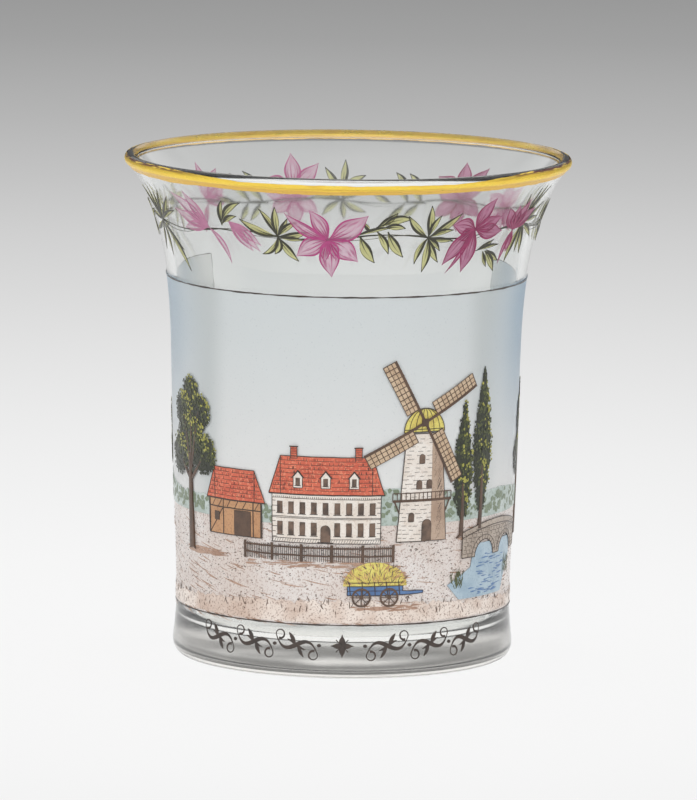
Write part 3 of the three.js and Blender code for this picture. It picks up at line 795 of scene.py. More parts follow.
def add_floor():
    """A pale floor. The eye sees its own grey, and its shadow only in part."""
    floor = discs("floor", [96], radius=FLOOR_RADIUS)
    floor.location.z = -FLOOR_GAP
    made, graph, skin = shader("pale_floor", Roughness=0.9, Specular_IOR_Level=0.0)
    far = graph.node("VectorMath", {0: graph.coords()}, operation="LENGTH").outputs["Value"]
    furthest = FLOOR_GREYS[-1][0]
    ramp = graph.node("ValToRGB", {0: graph.maths("DIVIDE", far, furthest)})
    stops = ramp.color_ramp.elements
    while len(stops) < len(FLOOR_GREYS):
        stops.new(0.5)
    for stop, (distance, grey) in zip(stops, FLOOR_GREYS):
        stop.position = distance / furthest
        stop.color = linear((grey, grey, grey))
    graph.feed(skin, {"Base Color": ramp.outputs[0]})
    shown = graph.node("Emission", {"Strength": 1.0, "Color": ramp.outputs[0]})
    rays = graph.node("LightPath").outputs
    mirrored = graph.most(rays["Is Glossy Ray"], rays["Is Transmission Ray"])
    seen = graph.most(rays["Is Camera Ray"], mirrored)
    graph.show(graph.times(seen, FLOOR_SHOWN), skin, shown)
    floor.data.materials.append(made)


def add_light():
    """A light tent: brightest overhead, with dark sides, a dark back low down and a fill light
    ahead and to the left."""
    world = bpy.data.worlds.new("studio")
    scene.world = world
    world.use_nodes = True
    world.node_tree.nodes.clear()
    graph = Graph(world.node_tree)
    x, y, z = graph.split(graph.coords("Generated"))
    low = graph.ranged(z, 0.35, 0.6, 1.0, 0.0)
    card = graph.plus(graph.ranged(z, 0.18, 0.23, BACK_LOW, BACK_MIDDLE),
                      graph.ranged(z, 0.36, 0.46, 0.0, BACK_HIGH - BACK_MIDDLE))
    behind = graph.times(graph.ranged(y, 0.1, 0.6), card)
    beside = graph.times(graph.ranged(graph.maths("ABSOLUTE", x), 0.7, 0.95), SIDES)
    dark = graph.times(graph.most(behind, beside), low)
    glow = graph.times(graph.maths("SUBTRACT", 1.0, dark), TENT)
    overhead = graph.ranged(z, 0.55, 0.8, 0.0, OVERHEAD)
    fill = graph.ranged(graph.plus(y, graph.times(x, 0.45)), -0.9, -0.3, FILL, 0.0)
    strength = graph.plus(glow, graph.plus(overhead, fill))
    lit = graph.node("Background", {"Color": WHITE, "Strength": strength})
    graph.node("OutputWorld", {0: lit.outputs[0]})


# The glass and its gilding


def add_glass():
    glass = turned("glass", glass_outline())
    smooth(glass)
    finish(glass, clear_glass(), "clear_glass", "glass_body")


def add_gilding():
    """The gold round the outside of the lip: a sheet whose two edges are wavy from the brush."""
    spare = 0.6  # more line than the gilding needs, at each end
    outside_end = lip_centre.z - GILDING_OUTSIDE - spare
    line = [at(wall_radius(h) + FILM_STAND, h) for h in spread(outside_end, lip_joint.z, 6)[:-1]]
    over = GILDING_OVER + math.degrees(spare / LIP_RADIUS)
    for p in lip_line(FILM_STAND, 60):
        across, up = p.x - lip_centre.x, p.z - lip_centre.z
        if across > 0 and math.degrees(math.atan2(up, across)) < over:
            line.append(p)
    reached = [0.0]
    for a, b in zip(line, line[1:]):
        reached.append(reached[-1] + (b - a).length)

    def wave(angle, seed):
        turn = math.radians(angle)
        spot = Vector((math.cos(turn), math.sin(turn), seed))
        return 0.3 * noise.noise(spot * 3) + 0.14 * noise.noise(spot * 11)

    gold = grid("gilding", columns=400, rows=24)
    for vertex in gold.data.vertices:
        angle = lerp(-180, 180, vertex.co.x + 0.5)
        at_back = 0.5 - 0.5 * math.cos(math.radians(angle))
        at_front = 1 - clamped((abs(angle) - 28) / 26)
        low = spare + lerp(0.1, 1.2, at_back) + lerp(1, 0.4, at_back) * wave(angle, 2.0)
        high = reached[-1] - spare - 1.2 * at_front - 0.25 * at_back + 0.4 * wave(angle, 9.0)
        spot = on_line(reached, line, lerp(low, high, vertex.co.y + 0.5))
        vertex.co = around(spot.x, angle, spot.z)
    gold.data.update()
    in_edit_mode(gold, merge_doubles)
    thicken(gold, GILDING)
    smooth(gold, 60)
    finish(gold, gilding(), "gilding", "gilt_rim")


# The picture's field


def hill_top(angle):
    return (HORIZON + 4.6 + 1.68 * math.sin(math.radians(angle * 2.6 + 20))
            + 0.72 * math.sin(math.radians(angle * 6.1)))


def bank_top(angle):
    return PANEL_LOW + 3.6 + 1.1 * math.sin(math.radians(angle * 1.7 + 100))


def rough_edge(height_at, amount, seed):
    """A wash's edge as the brush leaves it."""
    return lambda angle: height_at(angle) + amount * noise.noise(Vector((angle * 0.45, seed, 0)))


def panel_top(angle):
    """The top of the field, which rises a little round at the back."""
    back = clamped((abs(angle) - 80) / 40)
    return PANEL_HIGH + PANEL_RISE * back * back * (3 - 2 * back)


def add_field():
    ends = PANEL_LEFT, PANEL_RIGHT
    land = PANEL_LEFT + LAND_INSET, PANEL_RIGHT - LAND_INSET
    sky = field("sky", *ends, lambda a: HORIZON + 0.02, panel_top, 0)
    finish(sky, sky_enamel(), "sky_enamel", "sky_enamel")
    earth = field("ground", *ends, lambda a: PANEL_LOW, lambda a: HORIZON, 0)
    paint(earth, "earth", "earth_enamel")
    hills = field("far_hills_wash", *land, lambda a: HORIZON - 0.4,
                  rough_edge(hill_top, 0.6, 3.0), 1, rows=6)
    paint(hills, "hill", "far_hills")
    bank = field("near_bank_wash", *land, lambda a: PANEL_LOW + 0.5,
                 rough_edge(bank_top, 1.1, 8.0), 1, rows=6)
    paint(bank, "soil", "near_bank")


# Each enamel's slot, material, colour, pooled colour, grain colour, cloud, cloud scale, grain
# scale and grain share
ENAMELS = {
    "earth": ("earth_enamel", "earth_enamel", (248, 242, 238), (232, 218, 209), (168, 134, 120),
              0.8, 70, 2900, 0.7),
    "hill": ("hill_enamel", "hill_enamel", (196, 206, 202), (170, 184, 176), (122, 134, 116),
             0.9, 220, 1800, 0.45),
    "soil": ("brown_enamel", "brown_enamel", (240, 228, 218), (206, 182, 166), (134, 100, 82),
             0.95, 120, 2700, 0.7),
    "ink": ("sepia_enamel", "sepia_ink", INK, INK_POOL, INK_POOL, 0.7, 500, 2500, 0.1),
    "sepia": ("sepia_enamel", "sepia_wash", SEPIA, INK, INK, 0.8, 420, 2500, 0.2),
    "rut": ("brown_enamel", "brown_streak", (190, 158, 138), (160, 124, 102), (128, 92, 74),
            0.8, 300, 2600, 0.5),
    "shade": ("brown_enamel", "brown_shade", (190, 166, 146), (160, 132, 112), (160, 132, 112),
              0.8, 150, 2500, 0.4),
    "cream": ("cream_enamel", "cream_plaster", (240, 233, 225), (222, 208, 194), (186, 162, 142),
              0.6, 260, 3200, 0.35),
    "ochre": ("brown_enamel", "brown_ochre", (198, 150, 108), (172, 122, 84), (120, 82, 58),
              0.6, 260, 3000, 0.4),
    "yellow": ("yellow_enamel", "yellow_straw", (228, 216, 116), (196, 166, 74), (150, 124, 52),
               0.6, 380, 2800, 0.4),
    "timber": ("timber_enamel", "timber_brown", (96, 72, 56), (64, 48, 38), (64, 48, 38),
               0.6, 420, 2500, 0.2),
    "cloth": ("timber_enamel", "timber_cloth", (214, 190, 160), (186, 154, 122), (130, 98, 74),
              0.6, 380, 2500, 0.4),
    "red": ("red_enamel", "red_tile", (214, 104, 76), (190, 78, 56), (238, 160, 124),
            0.6, 320, 2400, 0.6),
    "stone": ("stone_enamel", "stone_grey", (186, 172, 158), (152, 136, 122), (104, 90, 78),
              0.6, 300, 2600, 0.5),
    "water": ("water_enamel", "water_blue", (176, 196, 208), (140, 166, 186), (112, 140, 166),
              0.6, 260, 2500, 0.3),
    "blue": ("blue_enamel", "blue_paint", (92, 128, 176), (66, 96, 144), (66, 96, 144),
             0.6, 420, 2500, 0.2),
    "dark": ("foliage_enamel", "foliage_dark", (44, 48, 32), (30, 34, 24), (74, 82, 44),
             0.6, 480, 2500, 0.3),
    "mid": ("foliage_enamel", "foliage_mid", (84, 90, 46), (58, 64, 34), (58, 64, 34),
            0.6, 620, 2500, 0.3),
    "light": ("foliage_enamel", "foliage_light", (172, 168, 76), (124, 124, 52), (124, 124, 52),
              0.6, 620, 2500, 0.2),
    "haze": ("hill_enamel", "foliage_haze", (134, 146, 124), (104, 118, 92), (104, 118, 92),
             0.6, 480, 2500, 0.3),
    "magenta": ("pink_enamel", "pink_line", (180, 66, 128), (158, 48, 108), (158, 48, 108),
                0.6, 620, 2500, 0.1),
    "pale_magenta": ("pink_enamel", "paler_line", (188, 122, 154), (166, 98, 132),
                     (166, 98, 132), 0.6, 620, 2500, 0.1),
    "deep_magenta": ("pink_enamel", "magenta_line", (150, 36, 92), (122, 24, 72), (122, 24, 72),
                     0.6, 620, 2500, 0.1),
    "vein": ("leaf_enamel", "leaf_line", (56, 54, 34), (30, 32, 22), (30, 32, 22),
             0.6, 620, 2500, 0.1),
}
# Each brush load's slot, material, light colour, deep colour, cover where it is thin and where it
# is full, streaks, sides and lean
BRUSH_LOADS = {
    "petal": ("pink_enamel", "pink_petal", (234, 200, 217), (188, 82, 138), 0.64, 0.92, 0.7, 0.5, 0),
    "pale_petal": ("pink_enamel", "paler_petal", (240, 222, 230), (204, 150, 176), 0.56, 0.86,
                   0.5, 0.5, 0),
    "deep_petal": ("pink_enamel", "magenta_petal", (214, 146, 180), (150, 36, 92), 0.72, 0.95,
                   0.7, 0.5, 0),
    "leaf": ("leaf_enamel", "leaf_green", (228, 226, 158), (88, 86, 52), 0.74, 0.96, 0.3, 0.8, 1),
}
PAINTS = {name: (slot, enamel(*rest)) for name, (slot, *rest) in ENAMELS.items()}
PAINTS.update({name: (slot, brush_load(*rest)) for name, (slot, *rest) in BRUSH_LOADS.items()})


# Painted pieces


def paint(obj, colour, *nodes):
    slot, material = PAINTS[colour]
    finish(obj, material, slot, *nodes)


def patch(name, outlines, spot, layer, colour, *nodes):
    """A flat wash of enamel at a spot, which is an angle and a height."""
    obj = wrap(drawn(name, outlines), *spot, layer)
    thicken(obj)
    paint(obj, colour, *nodes)


def lines(name, strokes, spot, layer, colour, *nodes):
    """Brush or pen lines at a spot."""
    obj = wrap(brushed(name, strokes), *spot, layer)
    smooth(obj, 60)
    paint(obj, colour, *nodes)


def pen(a, b, width=0.15):
    """A straight pen line, as a hand draws it."""
    return shaken(along([a, b], 1.5), 0.035), width


def level(left, right, height, width=0.15):
    return pen((left, height), (right, height), width)


def upright(across, low, high, width=0.15):
    return pen((across, low), (across, high), width)


def pen_round(outline, width=0.15):
    return shaken(along(outline + outline[:1], 1.5), 0.03), width


def bar(a, b, width):
    """A straight brush line."""
    return along([a, b]), width


def round_at(angle):
    """How far across a drawing laid out from angle 0 and height 0 an angle is."""
    return math.radians(angle) * wall_radius(0)


WHOLE = (0, 0)  # where a drawing of the whole panel or garland is laid out from


def swept(across, up, turn, length, bend=0.0, steps=14):
    """A line that leaves a point about a turn, in degrees, and bends evenly on its way."""
    points = [(across, up)]
    for i in range(steps):
        heading = math.radians(turn + bend * ((i + 0.5) / steps - 0.5))
        across += length / steps * math.cos(heading)
        up += length / steps * math.sin(heading)
        points.append((across, up))
    return points


def picked(value):
    """A number, or for a pair a random one between its two."""
    return random.uniform(*value) if isinstance(value, tuple) else value


def dash(across, up, turn, length, bend, steps, width):
    """A tapering stroke. Its measures are numbers, or pairs to pick one from."""
    line = swept(*[picked(value) for value in (across, up, turn, length, bend)], steps)
    return line, tapered(picked(width))


def broken(start, end, runs, gaps):
    """The two ends of each run of a broken line. The gaps are a pair to pick from, or give one
    for the place where a run starts."""
    place = start
    while place < end:
        run_end = place + random.uniform(*runs)
        yield place, run_end
        place = run_end + random.uniform(*(gaps(place) if callable(gaps) else gaps))


def ribbon_spot(ribbon, share, side):
    """A spot on a ribbon, at a share of its length and at a side from -1 to 1."""
    line, width, profile = ribbon
    place = min(share, 0.9999) * (len(line) - 1)
    i = int(place)
    (ax, az), (bx, bz) = line[i], line[i + 1]
    way = math.atan2(bz - az, bx - ax)
    half = side * width * profile(share) / 2
    x, z = lerp(ax, bx, place - i), lerp(az, bz, place - i)
    return x - half * math.sin(way), z + half * math.cos(way)


def ribbons(name, shapes):
    """A flat piece with one brush load for each ribbon, (line, width, profile). Its map runs
    along each one and across it, and each lies a hair above the one before."""
    obj = grid(name, columns=14, rows=6, count=len(shapes))
    each = len(obj.data.vertices) // len(shapes)
    for index, vertex in enumerate(obj.data.vertices):
        count = index // each
        x, z = ribbon_spot(shapes[count], vertex.co.x + 0.5, vertex.co.y * 2)
        vertex.co = (x, -count * RIBBON_STEP, z)
    return obj


def ribbon_line(ribbon, side, start, end, width, steps=12):
    """A line along a ribbon, at one side of it."""
    return [ribbon_spot(ribbon, share, side) for share in spread(start, end, steps)], width


def profile(full, lean, power, root):
    """A ribbon's width along it, as a share of its own."""
    return lambda share: max(full * math.sin(math.pi * share ** lean) ** power, root * (1 - share))


PETAL = profile(1.1, 0.96, 1.3, 0.16)
LEAF = profile(0.9, 1.08, 1.15, 0.12)


# The garland

GARLAND_HEIGHT = LIP_TOP - 11.75
GARLAND_WAVE = 0.6
GARLAND_WAVES = 8
GARLAND_LAYERS = {"spray": 1, "bud": 1, "whorl": 2.4, "star": 4, "side": 5.6}

# Petals and leaves: turn, length, width and bend, and where they don't start in the middle of
# their motif, also that place across and up
SHAPES = {
    "star": [(-148, 6.4, 3.1, 14), (-92, 6.2, 3.2, -8), (-38, 6.4, 3.2, -14), (22, 6.6, 3.2, 14),
             (84, 6.0, 3.0, -10), (142, 6.8, 2.6, -20)],
    "side": [(178, 5.9, 2.2, 14, 0, -1), (150, 7.6, 2.4, -12, 0, -1), (124, 7.6, 2.4, 10, 0, -1),
             (98, 7.2, 2.3, -12, 0, -1), (-58, 6.2, 0.9, -34, 0, -1)],
    "bud": [(-66, 6.4, 1.7, 10, -2.4, 2), (-52, 7.0, 1.8, -4, -2.4, 2),
            (-38, 6.6, 1.7, -14, -2.4, 2)],
    "whorl": [(14, 5.6, 1.4, -22), (58, 5.0, 1.3, 18), (98, 5.6, 1.5, -14), (148, 5.2, 1.5, 20),
              (214, 5.6, 1.5, -24), (270, 5.0, 1.3, 16), (318, 5.6, 1.5, -18)],
    "spray": [(44, 5.4, 1.5, -24, -3.7, 0), (-52, 5.2, 1.4, 26, -3.1, 0),
              (44, 5.4, 1.5, -24, -0.7, 0), (-52, 5.2, 1.4, 26, -0.1, 0),
              (24, 4.6, 1.4, 18, 2.9, 0), (2, 5.0, 0.6, 8, -5, 0)],
}
# The motifs that face the camera have their own
FRONT = {
    "star_1": [
        (147, 9.6, 2.0, -38), (119, 6.8, 2.6, 14), (34, 9.0, 3.7, 26), (-37, 7.2, 3.6, -20),
        (-151, 7.2, 3.4, 22), (-85, 7.4, 3.6, 8), (-98, 4.6, 1.8, 30), (-70, 4.4, 1.7, -34)],
    "star_2": [
        (-134, 9.4, 2.8, 14), (-102, 8.6, 3.3, -10), (168, 5.6, 3.0, 16), (204, 4.2, 2.2, -20),
        (64, 6.8, 2.8, -14), (20, 6.6, 2.8, 20), (-6, 7.6, 2.9, 14), (-124, 10.2, 0.7, -24)],
    "side_1": [
        (186, 7.2, 1.8, 22, 0, 0.4), (161, 9.2, 2.2, -14, 0, 0.4), (142, 10.2, 2.3, 8, 0, 0.4),
        (121, 8.0, 2.2, -12, 0, 0.4), (150, 5.6, 2.0, 6, 0, 0.4), (-57, 8.2, 0.9, -44, 0, 0.4)],
    "side_2": [
        (124, 5.6, 2.4, -12, 0, -0.6), (64, 6.2, 2.5, 10, 0, -0.6), (31, 7.4, 2.3, -12, 0, -0.6),
        (92, 4.8, 2.6, 0, 0, -0.6), (-99, 4.4, 1.8, 8, 0, -0.6), (-112, 7.0, 0.8, 18, 0, -0.6)],
    "bud_1": [
        (-50, 7.3, 1.7, 12, -2.7, 1.6), (-34, 7.9, 1.7, -12, -2.7, 1.6),
        (-42, 8.4, 1.6, -4, -2.7, 1.6)],
    "whorl_1": [
        (130, 8.2, 0.9, 18), (104, 6.4, 0.8, -10), (84, 5.6, 0.8, 8), (62, 7.0, 0.9, -14),
        (40, 8.2, 0.9, 10), (20, 7.6, 0.8, -12), (165, 5.2, 0.8, 14), (204, 6.0, 0.9, -12),
        (-110, 6.4, 0.9, 14), (-78, 7.0, 1.0, -10), (-47, 12.6, 1.5, -20), (-36, 8.8, 1.0, 16)],
    "whorl_2": [
        (158, 8.2, 1.7, -30), (119, 6.2, 1.2, 24), (88, 6.0, 1.5, -12), (58, 4.4, 1.0, 16),
        (37, 5.2, 1.2, -20), (11, 6.3, 1.3, 26), (-4, 5.4, 0.8, 18), (-50, 6.2, 1.6, 22),
        (-104, 3.8, 1.7, -60), (-134, 5.4, 1.1, -70)],
    "whorl_3": [
        (135, 6.4, 1.5, -26), (94, 6.5, 1.5, 20), (66, 4.8, 1.2, -14), (36, 7.8, 1.6, 22),
        (14, 5.4, 1.1, -24), (-8, 5.6, 1.0, 20), (-44, 4.0, 1.0, -20), (-61, 5.8, 1.5, 26),
        (-95, 6.9, 1.7, -26), (-114, 5.8, 1.2, 40)],
    "whorl_4": [
        (-116, 8.2, 1.5, 14), (-72, 6.6, 1.3, -12), (60, 8.0, 0.9, 12), (48, 9.0, 0.8, -10),
        (74, 7.0, 0.8, 8), (104, 6.0, 0.9, -12), (28, 7.6, 0.9, 12), (150, 5.0, 1.0, 16),
        (-30, 6.8, 1.1, -14), (-92, 5.8, 1.0, 10), (6, 6.6, 0.8, -8)],
    "spray_1": [
        (38, 4.9, 1.4, 26, -2.2, 1.4), (12, 5.9, 1.8, -46, -1.0, 1.8),
        (-2, 4.2, 1.3, -26, -0.7, 1.4), (126, 2.0, 0.8, -16, -3.2, 0.8),
        (-60, 6.2, 2.2, 28, -5.2, -0.2), (-61, 5.2, 1.5, -22, -2.0, 0.7),
        (-56, 6.2, 2.0, 26, 0.1, 0.6), (14, 7.6, 0.7, -16, -6.2, -0.3)],
}
# Each motif's kind and angle, and how far it is above the stem where it isn't on it
GARLAND = [
    ("whorl", -69.5), ("side", -43.5), ("bud", -32), ("whorl", -20.5), ("star", -5.5),
    ("spray", 11.5), ("whorl", 24), ("star", 39.5, 1.4), ("side", 56), ("whorl", 61.5, 0.6),
    ("spray", 84), ("bud", 102), ("star", 122), ("star", 143), ("spray", 162), ("whorl", 182),
    ("star", 197), ("spray", 213), ("side", 229), ("whorl", 249), ("spray", 269),
]
DEEPER = ("star_2", "side_2", "star_4")  # blossoms with more colour on them
PALER = ("side_1", "bud_1")  # and with less, which makes them paler
# Leaves that fill gaps: their angle, and leaves as above
FILLERS = {
    "trio": (-32, [(74, 5.4, 1.1, -40, -4.4, 0.6), (38, 6.8, 1.3, -44, -4.3, 1.4),
                   (26, 4.2, 1.0, -36, -4.3, 0.9)]),
    "pendent": (44, [(24, 5.0, 0.8, 16, -1.4, -3.4), (8, 6.4, 0.7, -14, -1.4, -3.4),
                     (-62, 3.6, 0.9, 16, 0.6, -3.6), (-50, 5.6, 1.7, -24, 1.2, -3.6),
                     (-30, 4.8, 1.3, 16, 1.6, -3.4)]),
}


def stem_at(angle):
    return GARLAND_HEIGHT + GARLAND_WAVE * math.sin(math.radians(angle * GARLAND_WAVES))


def petal_lines(ribbon):
    """A petal's two sides and the streaks out of its root."""
    sides = [ribbon_line(ribbon, side, 0.06, 1, tapered(0.4)) for side in (-0.94, 0.94)]
    streaks = [ribbon_line(ribbon, side, 0.04, random.uniform(0.4, 0.8), tapered(0.2), 7)
               for side in (-0.6, -0.2, 0.2, 0.6)]
    return sides + (streaks if ribbon[1] > 1.2 else [])


def leaf_lines(ribbon):
    """A leaf's dark side, which swells to its tip, its far side and its vein."""
    return [ribbon_line(ribbon, 0.85, 0.0, 1, swelling(0.16, 0.6, 1.5, 0.04, 1.04)),
            ribbon_line(ribbon, -0.92, 0.35, 1, lambda share: lerp(0.06, 0.16, share), 8),
            ribbon_line(ribbon, -0.1, 0.0, random.uniform(0.55, 0.8), tapered(0.18), 8)]


def add_motif(name, angle, rise, layer, shapes, colours, *nodes):
    """A blossom or a bunch of leaves and its lines. They lie over it, or at the back, which is
    seen from inside, between it and the glass."""
    outline, lines_of = (LEAF, leaf_lines) if colours[0] == "leaf" else (PETAL, petal_lines)
    made = [(swept(*(root or (0, 0)), turn, length, bend), width, outline)
            for turn, length, width, bend, *root in shapes]
    spot = (angle, stem_at(angle) + rise)
    body = wrap(ribbons(name, made), *spot, layer)
    thicken(body, PETAL_FILM)
    smooth(body)
    paint(body, colours[0], *nodes)
    strokes = [stroke for ribbon in made for stroke in lines_of(ribbon)]
    lines_layer = layer - 0.9 if math.cos(math.radians(angle)) < 0 else layer + 1.3
    lines(name + "_lines", strokes, spot, lines_layer, colours[1])


def add_garland():
    leaves = ("leaf", "vein")
    counts = {}
    for kind, angle, *rise in GARLAND:
        counts[kind] = counts.get(kind, 0) + 1
        name = f"{kind}_{counts[kind]}"
        shapes = FRONT.get(name) or [
            (turn + random.uniform(-9, 9), length * random.uniform(0.9, 1.12), *rest)
            for turn, length, *rest in SHAPES[kind]]
        tone = "deep_" if name in DEEPER else "pale_" if name in PALER else ""
        colours = leaves if kind in ("whorl", "spray") else (tone + "petal", tone + "magenta")
        add_motif("painted_" + name, angle, sum(rise), GARLAND_LAYERS[kind], shapes, colours,
                  "garland_" + name)
    for name, (angle, shapes) in FILLERS.items():
        add_motif("painted_" + name, angle, 0, 1, shapes, leaves)
    turns = [i * 1.5 for i in range(-120, 121)]
    main = [(round_at(a), stem_at(a)) for a in turns]
    second = [(round_at(a), stem_at(a) - 0.3 - 0.45 * math.sin(math.radians(a * 11 + 40)))
              for a in turns]
    strokes = [(shaken(main, 0.03), lambda share: 0.3 + 0.1 * math.sin(share * 90)),
               (shaken(second, 0.03), lambda share: 0.18 + 0.08 * math.sin(share * 70))]
    lines("painted_stem", strokes, WHOLE, 0.3, "vein", "garland_stem")


# The scrolls under the picture

SCROLL_HEIGHT = 6.7
SCROLL_LENGTH = 8.2
SCROLL_RISE = 4.4
SCROLL_WIDTH = 1.0
SPRIG_LENGTH = 2.6
SCROLL_PITCH = 15.5
SCROLLS_EACH_SIDE = 3
# Twigs on a scroll: turn, length, width and bend
SPRIG = [(28, SPRIG_LENGTH, 0.9, 30), (58, 1.9, 0.5, 50), (206, SPRIG_LENGTH, 0.8, 30),
         (238, 1.8, 0.45, 50)]


def scroll_strokes(side):
    """An S curve of one brush stroke, rolled up at its ends, with a sprig on it."""
    half, fifth = side * SCROLL_LENGTH / 2, side * SCROLL_LENGTH / 5
    curve = interpolate_bezier(Vector((-half, -SCROLL_RISE * 0.35)), Vector((-fifth, SCROLL_RISE)),
                               Vector((fifth, -SCROLL_RISE)), Vector((half, SCROLL_RISE * 0.35)), 25)
    strokes = [([tuple(p) for p in curve], swelling(0.22 * SCROLL_WIDTH, SCROLL_WIDTH, 1.4))]
    bend = side * 310
    for end, before in ((curve[-1], curve[-2]), (curve[0], curve[1])):
        heading = math.degrees(math.atan2(end.y - before.y, end.x - before.x))
        roll = swept(*end, heading + bend / 2, 4.6, bend, 18)
        strokes.append((roll, lambda share: lerp(0.24, 0.62, share ** 3)))
    root = side * SCROLL_WIDTH / 3
    for turn, length, width, curl in SPRIG:
        twig = swept(root if turn < 90 else -root, 0, 90 - side * turn, length, -side * curl, 8)
        strokes.append((twig, swelling(0.2 * width, width, start=0.1)))
    return strokes


def add_scrolls():
    rays = [(swept(0, 0, turn, SCROLL_RISE / 2, 0, 8), swelling(0.15, 1.25, 2, start=0.2))
            for turn in (90, -90, 0, 180)]
    rays += [(swept(0, 0, turn, 1.7, 0, 6), 0.22) for turn in (45, 135, 225, 315)]
    lines("painted_lozenge", rays, (0, SCROLL_HEIGHT), 0.4, "ink", "scroll_middle")
    dot = [(swept(-0.4, 0, 0, 0.8, 0, 4), swelling(0.3, 0.8))]
    for word, side in (("left", -1), ("right", 1)):
        for i in range(1, SCROLLS_EACH_SIDE + 1):
            name = f"scroll_{word}_{i}"
            spot = (side * i * SCROLL_PITCH, SCROLL_HEIGHT)
            lines("painted_" + name, scroll_strokes(side), spot, 0.4, "ink", name)
            dot_spot = (side * (i - 0.5) * SCROLL_PITCH, SCROLL_HEIGHT)
            lines("painted_dot_" + name, dot, dot_spot, 0.4, "ink")


# The picture


def add_outline():
    """The thin line round the field, not quite even."""
    left, right = round_at(PANEL_LEFT), round_at(PANEL_RIGHT)
    low = PANEL_LOW + 0.1
    top = [(round_at(turn), panel_top(turn) - 0.05)
           for turn in spread(PANEL_RIGHT, PANEL_LEFT, 150)]

    def uneven(share):
        return 0.3 + 0.07 * math.sin(share * 83) + 0.05 * math.sin(share * 211)

    sides = [[(left, low), (right, low)], [(right, low), top[0]], top, [top[-1], (left, low)]]
    strokes = [(shaken(along(side, 1.0), 0.025), uneven) for side in sides]
    lines("painted_outline", strokes, WHOLE, 1.0, "ink", "panel_outline")


TOUCH = (1, 0.72, 0.95, 0.8, 1.05, 0.7, 0.9)  # how far a touch's corners reach


def dabs(name, touches, spot, layer, colour):
    """A scatter of small uneven touches of the brush, each (across, up, size)."""
    touch = discs(name + "_touch", [len(TOUCH)])
    for vertex, reach in zip(touch.data.vertices, TOUCH):
        x, y, _ = vertex.co
        vertex.co = (x * reach, 0, y * reach)
    places = []
    for x, z, size in touches:
        turn = Matrix.Rotation(random.uniform(0, 6.28), 4, "Y")
        stretch = Matrix.Diagonal((size, 1, size * random.uniform(0.55, 0.9), 1))
        front = -random.uniform(0, 0.03)
        places.append(Matrix.Translation((x, front, z)) @ turn @ stretch)
    obj = wrap(copies(name, touch, places), *spot, layer)
    bpy.data.objects.remove(touch)
    thicken(obj, DAB_FILM)
    paint(obj, colour)


def add_shadow(name, spot, layer, count, across, up, turn, length, width):
    """Strokes on the ground at a thing's foot."""
    strokes = [dash(across, up, turn, length, 0, 4, width) for _ in range(count)]
    lines(name + "_shadow", strokes, spot, layer, "rut")


CROWN_POINTS = 30
TRUNK_SHARES = {"round": 0.34, "tall": 0.14}
ROUND_CROWN = [(0, 0.4, 0.62), (-0.52, 0.28, 0.44), (0.54, 0.32, 0.42), (-0.3, 0.66, 0.42),
               (0.34, 0.68, 0.4), (0.02, 0.84, 0.34)]
TALL_CROWN = [0.1, 0.22, 0.36, 0.5, 0.64, 0.78, 0.9]
# Each tree's kind, layer, angle, foot, height and radius
TREES = {
    "oak_left": ("round", 3, -62, 23, 34, 9),
    "poplar_near": ("tall", 2, 43, 27, 26, 2.6),
    "poplar_far": ("tall", 2, 52, 28, 31, 2.9),
    "oak_right": ("round", 1.5, 92, 24, 31, 8.5),
    "elm_left": ("round", 1.5, -100, 26, 26, 7.5),
    "elm_right": ("round", 3, 104, 26, 24, 6.5),
}


def crown_lobes(kind, foot, height, radius):
    """The crown's masses as (across, up, half width, half height)."""
    if kind == "round":
        return [(x * radius, foot + y * height, size * radius, size * radius)
                for x, y, size in ROUND_CROWN]
    return [(0, foot + s * height, radius * math.sin(math.pi * s ** 0.756), height * 0.13)
            for s in TALL_CROWN]


def ragged(x, z, wide, tall):
    """The uneven outline of one of a crown's masses."""
    outline = []
    for i in range(CROWN_POINTS):
        turn = 2 * math.pi * i / CROWN_POINTS
        reach = 0.9 + random.uniform(-0.1, 0.1)
        outline.append((x + wide * reach * math.cos(turn), z + tall * reach * math.sin(turn)))
    return outline


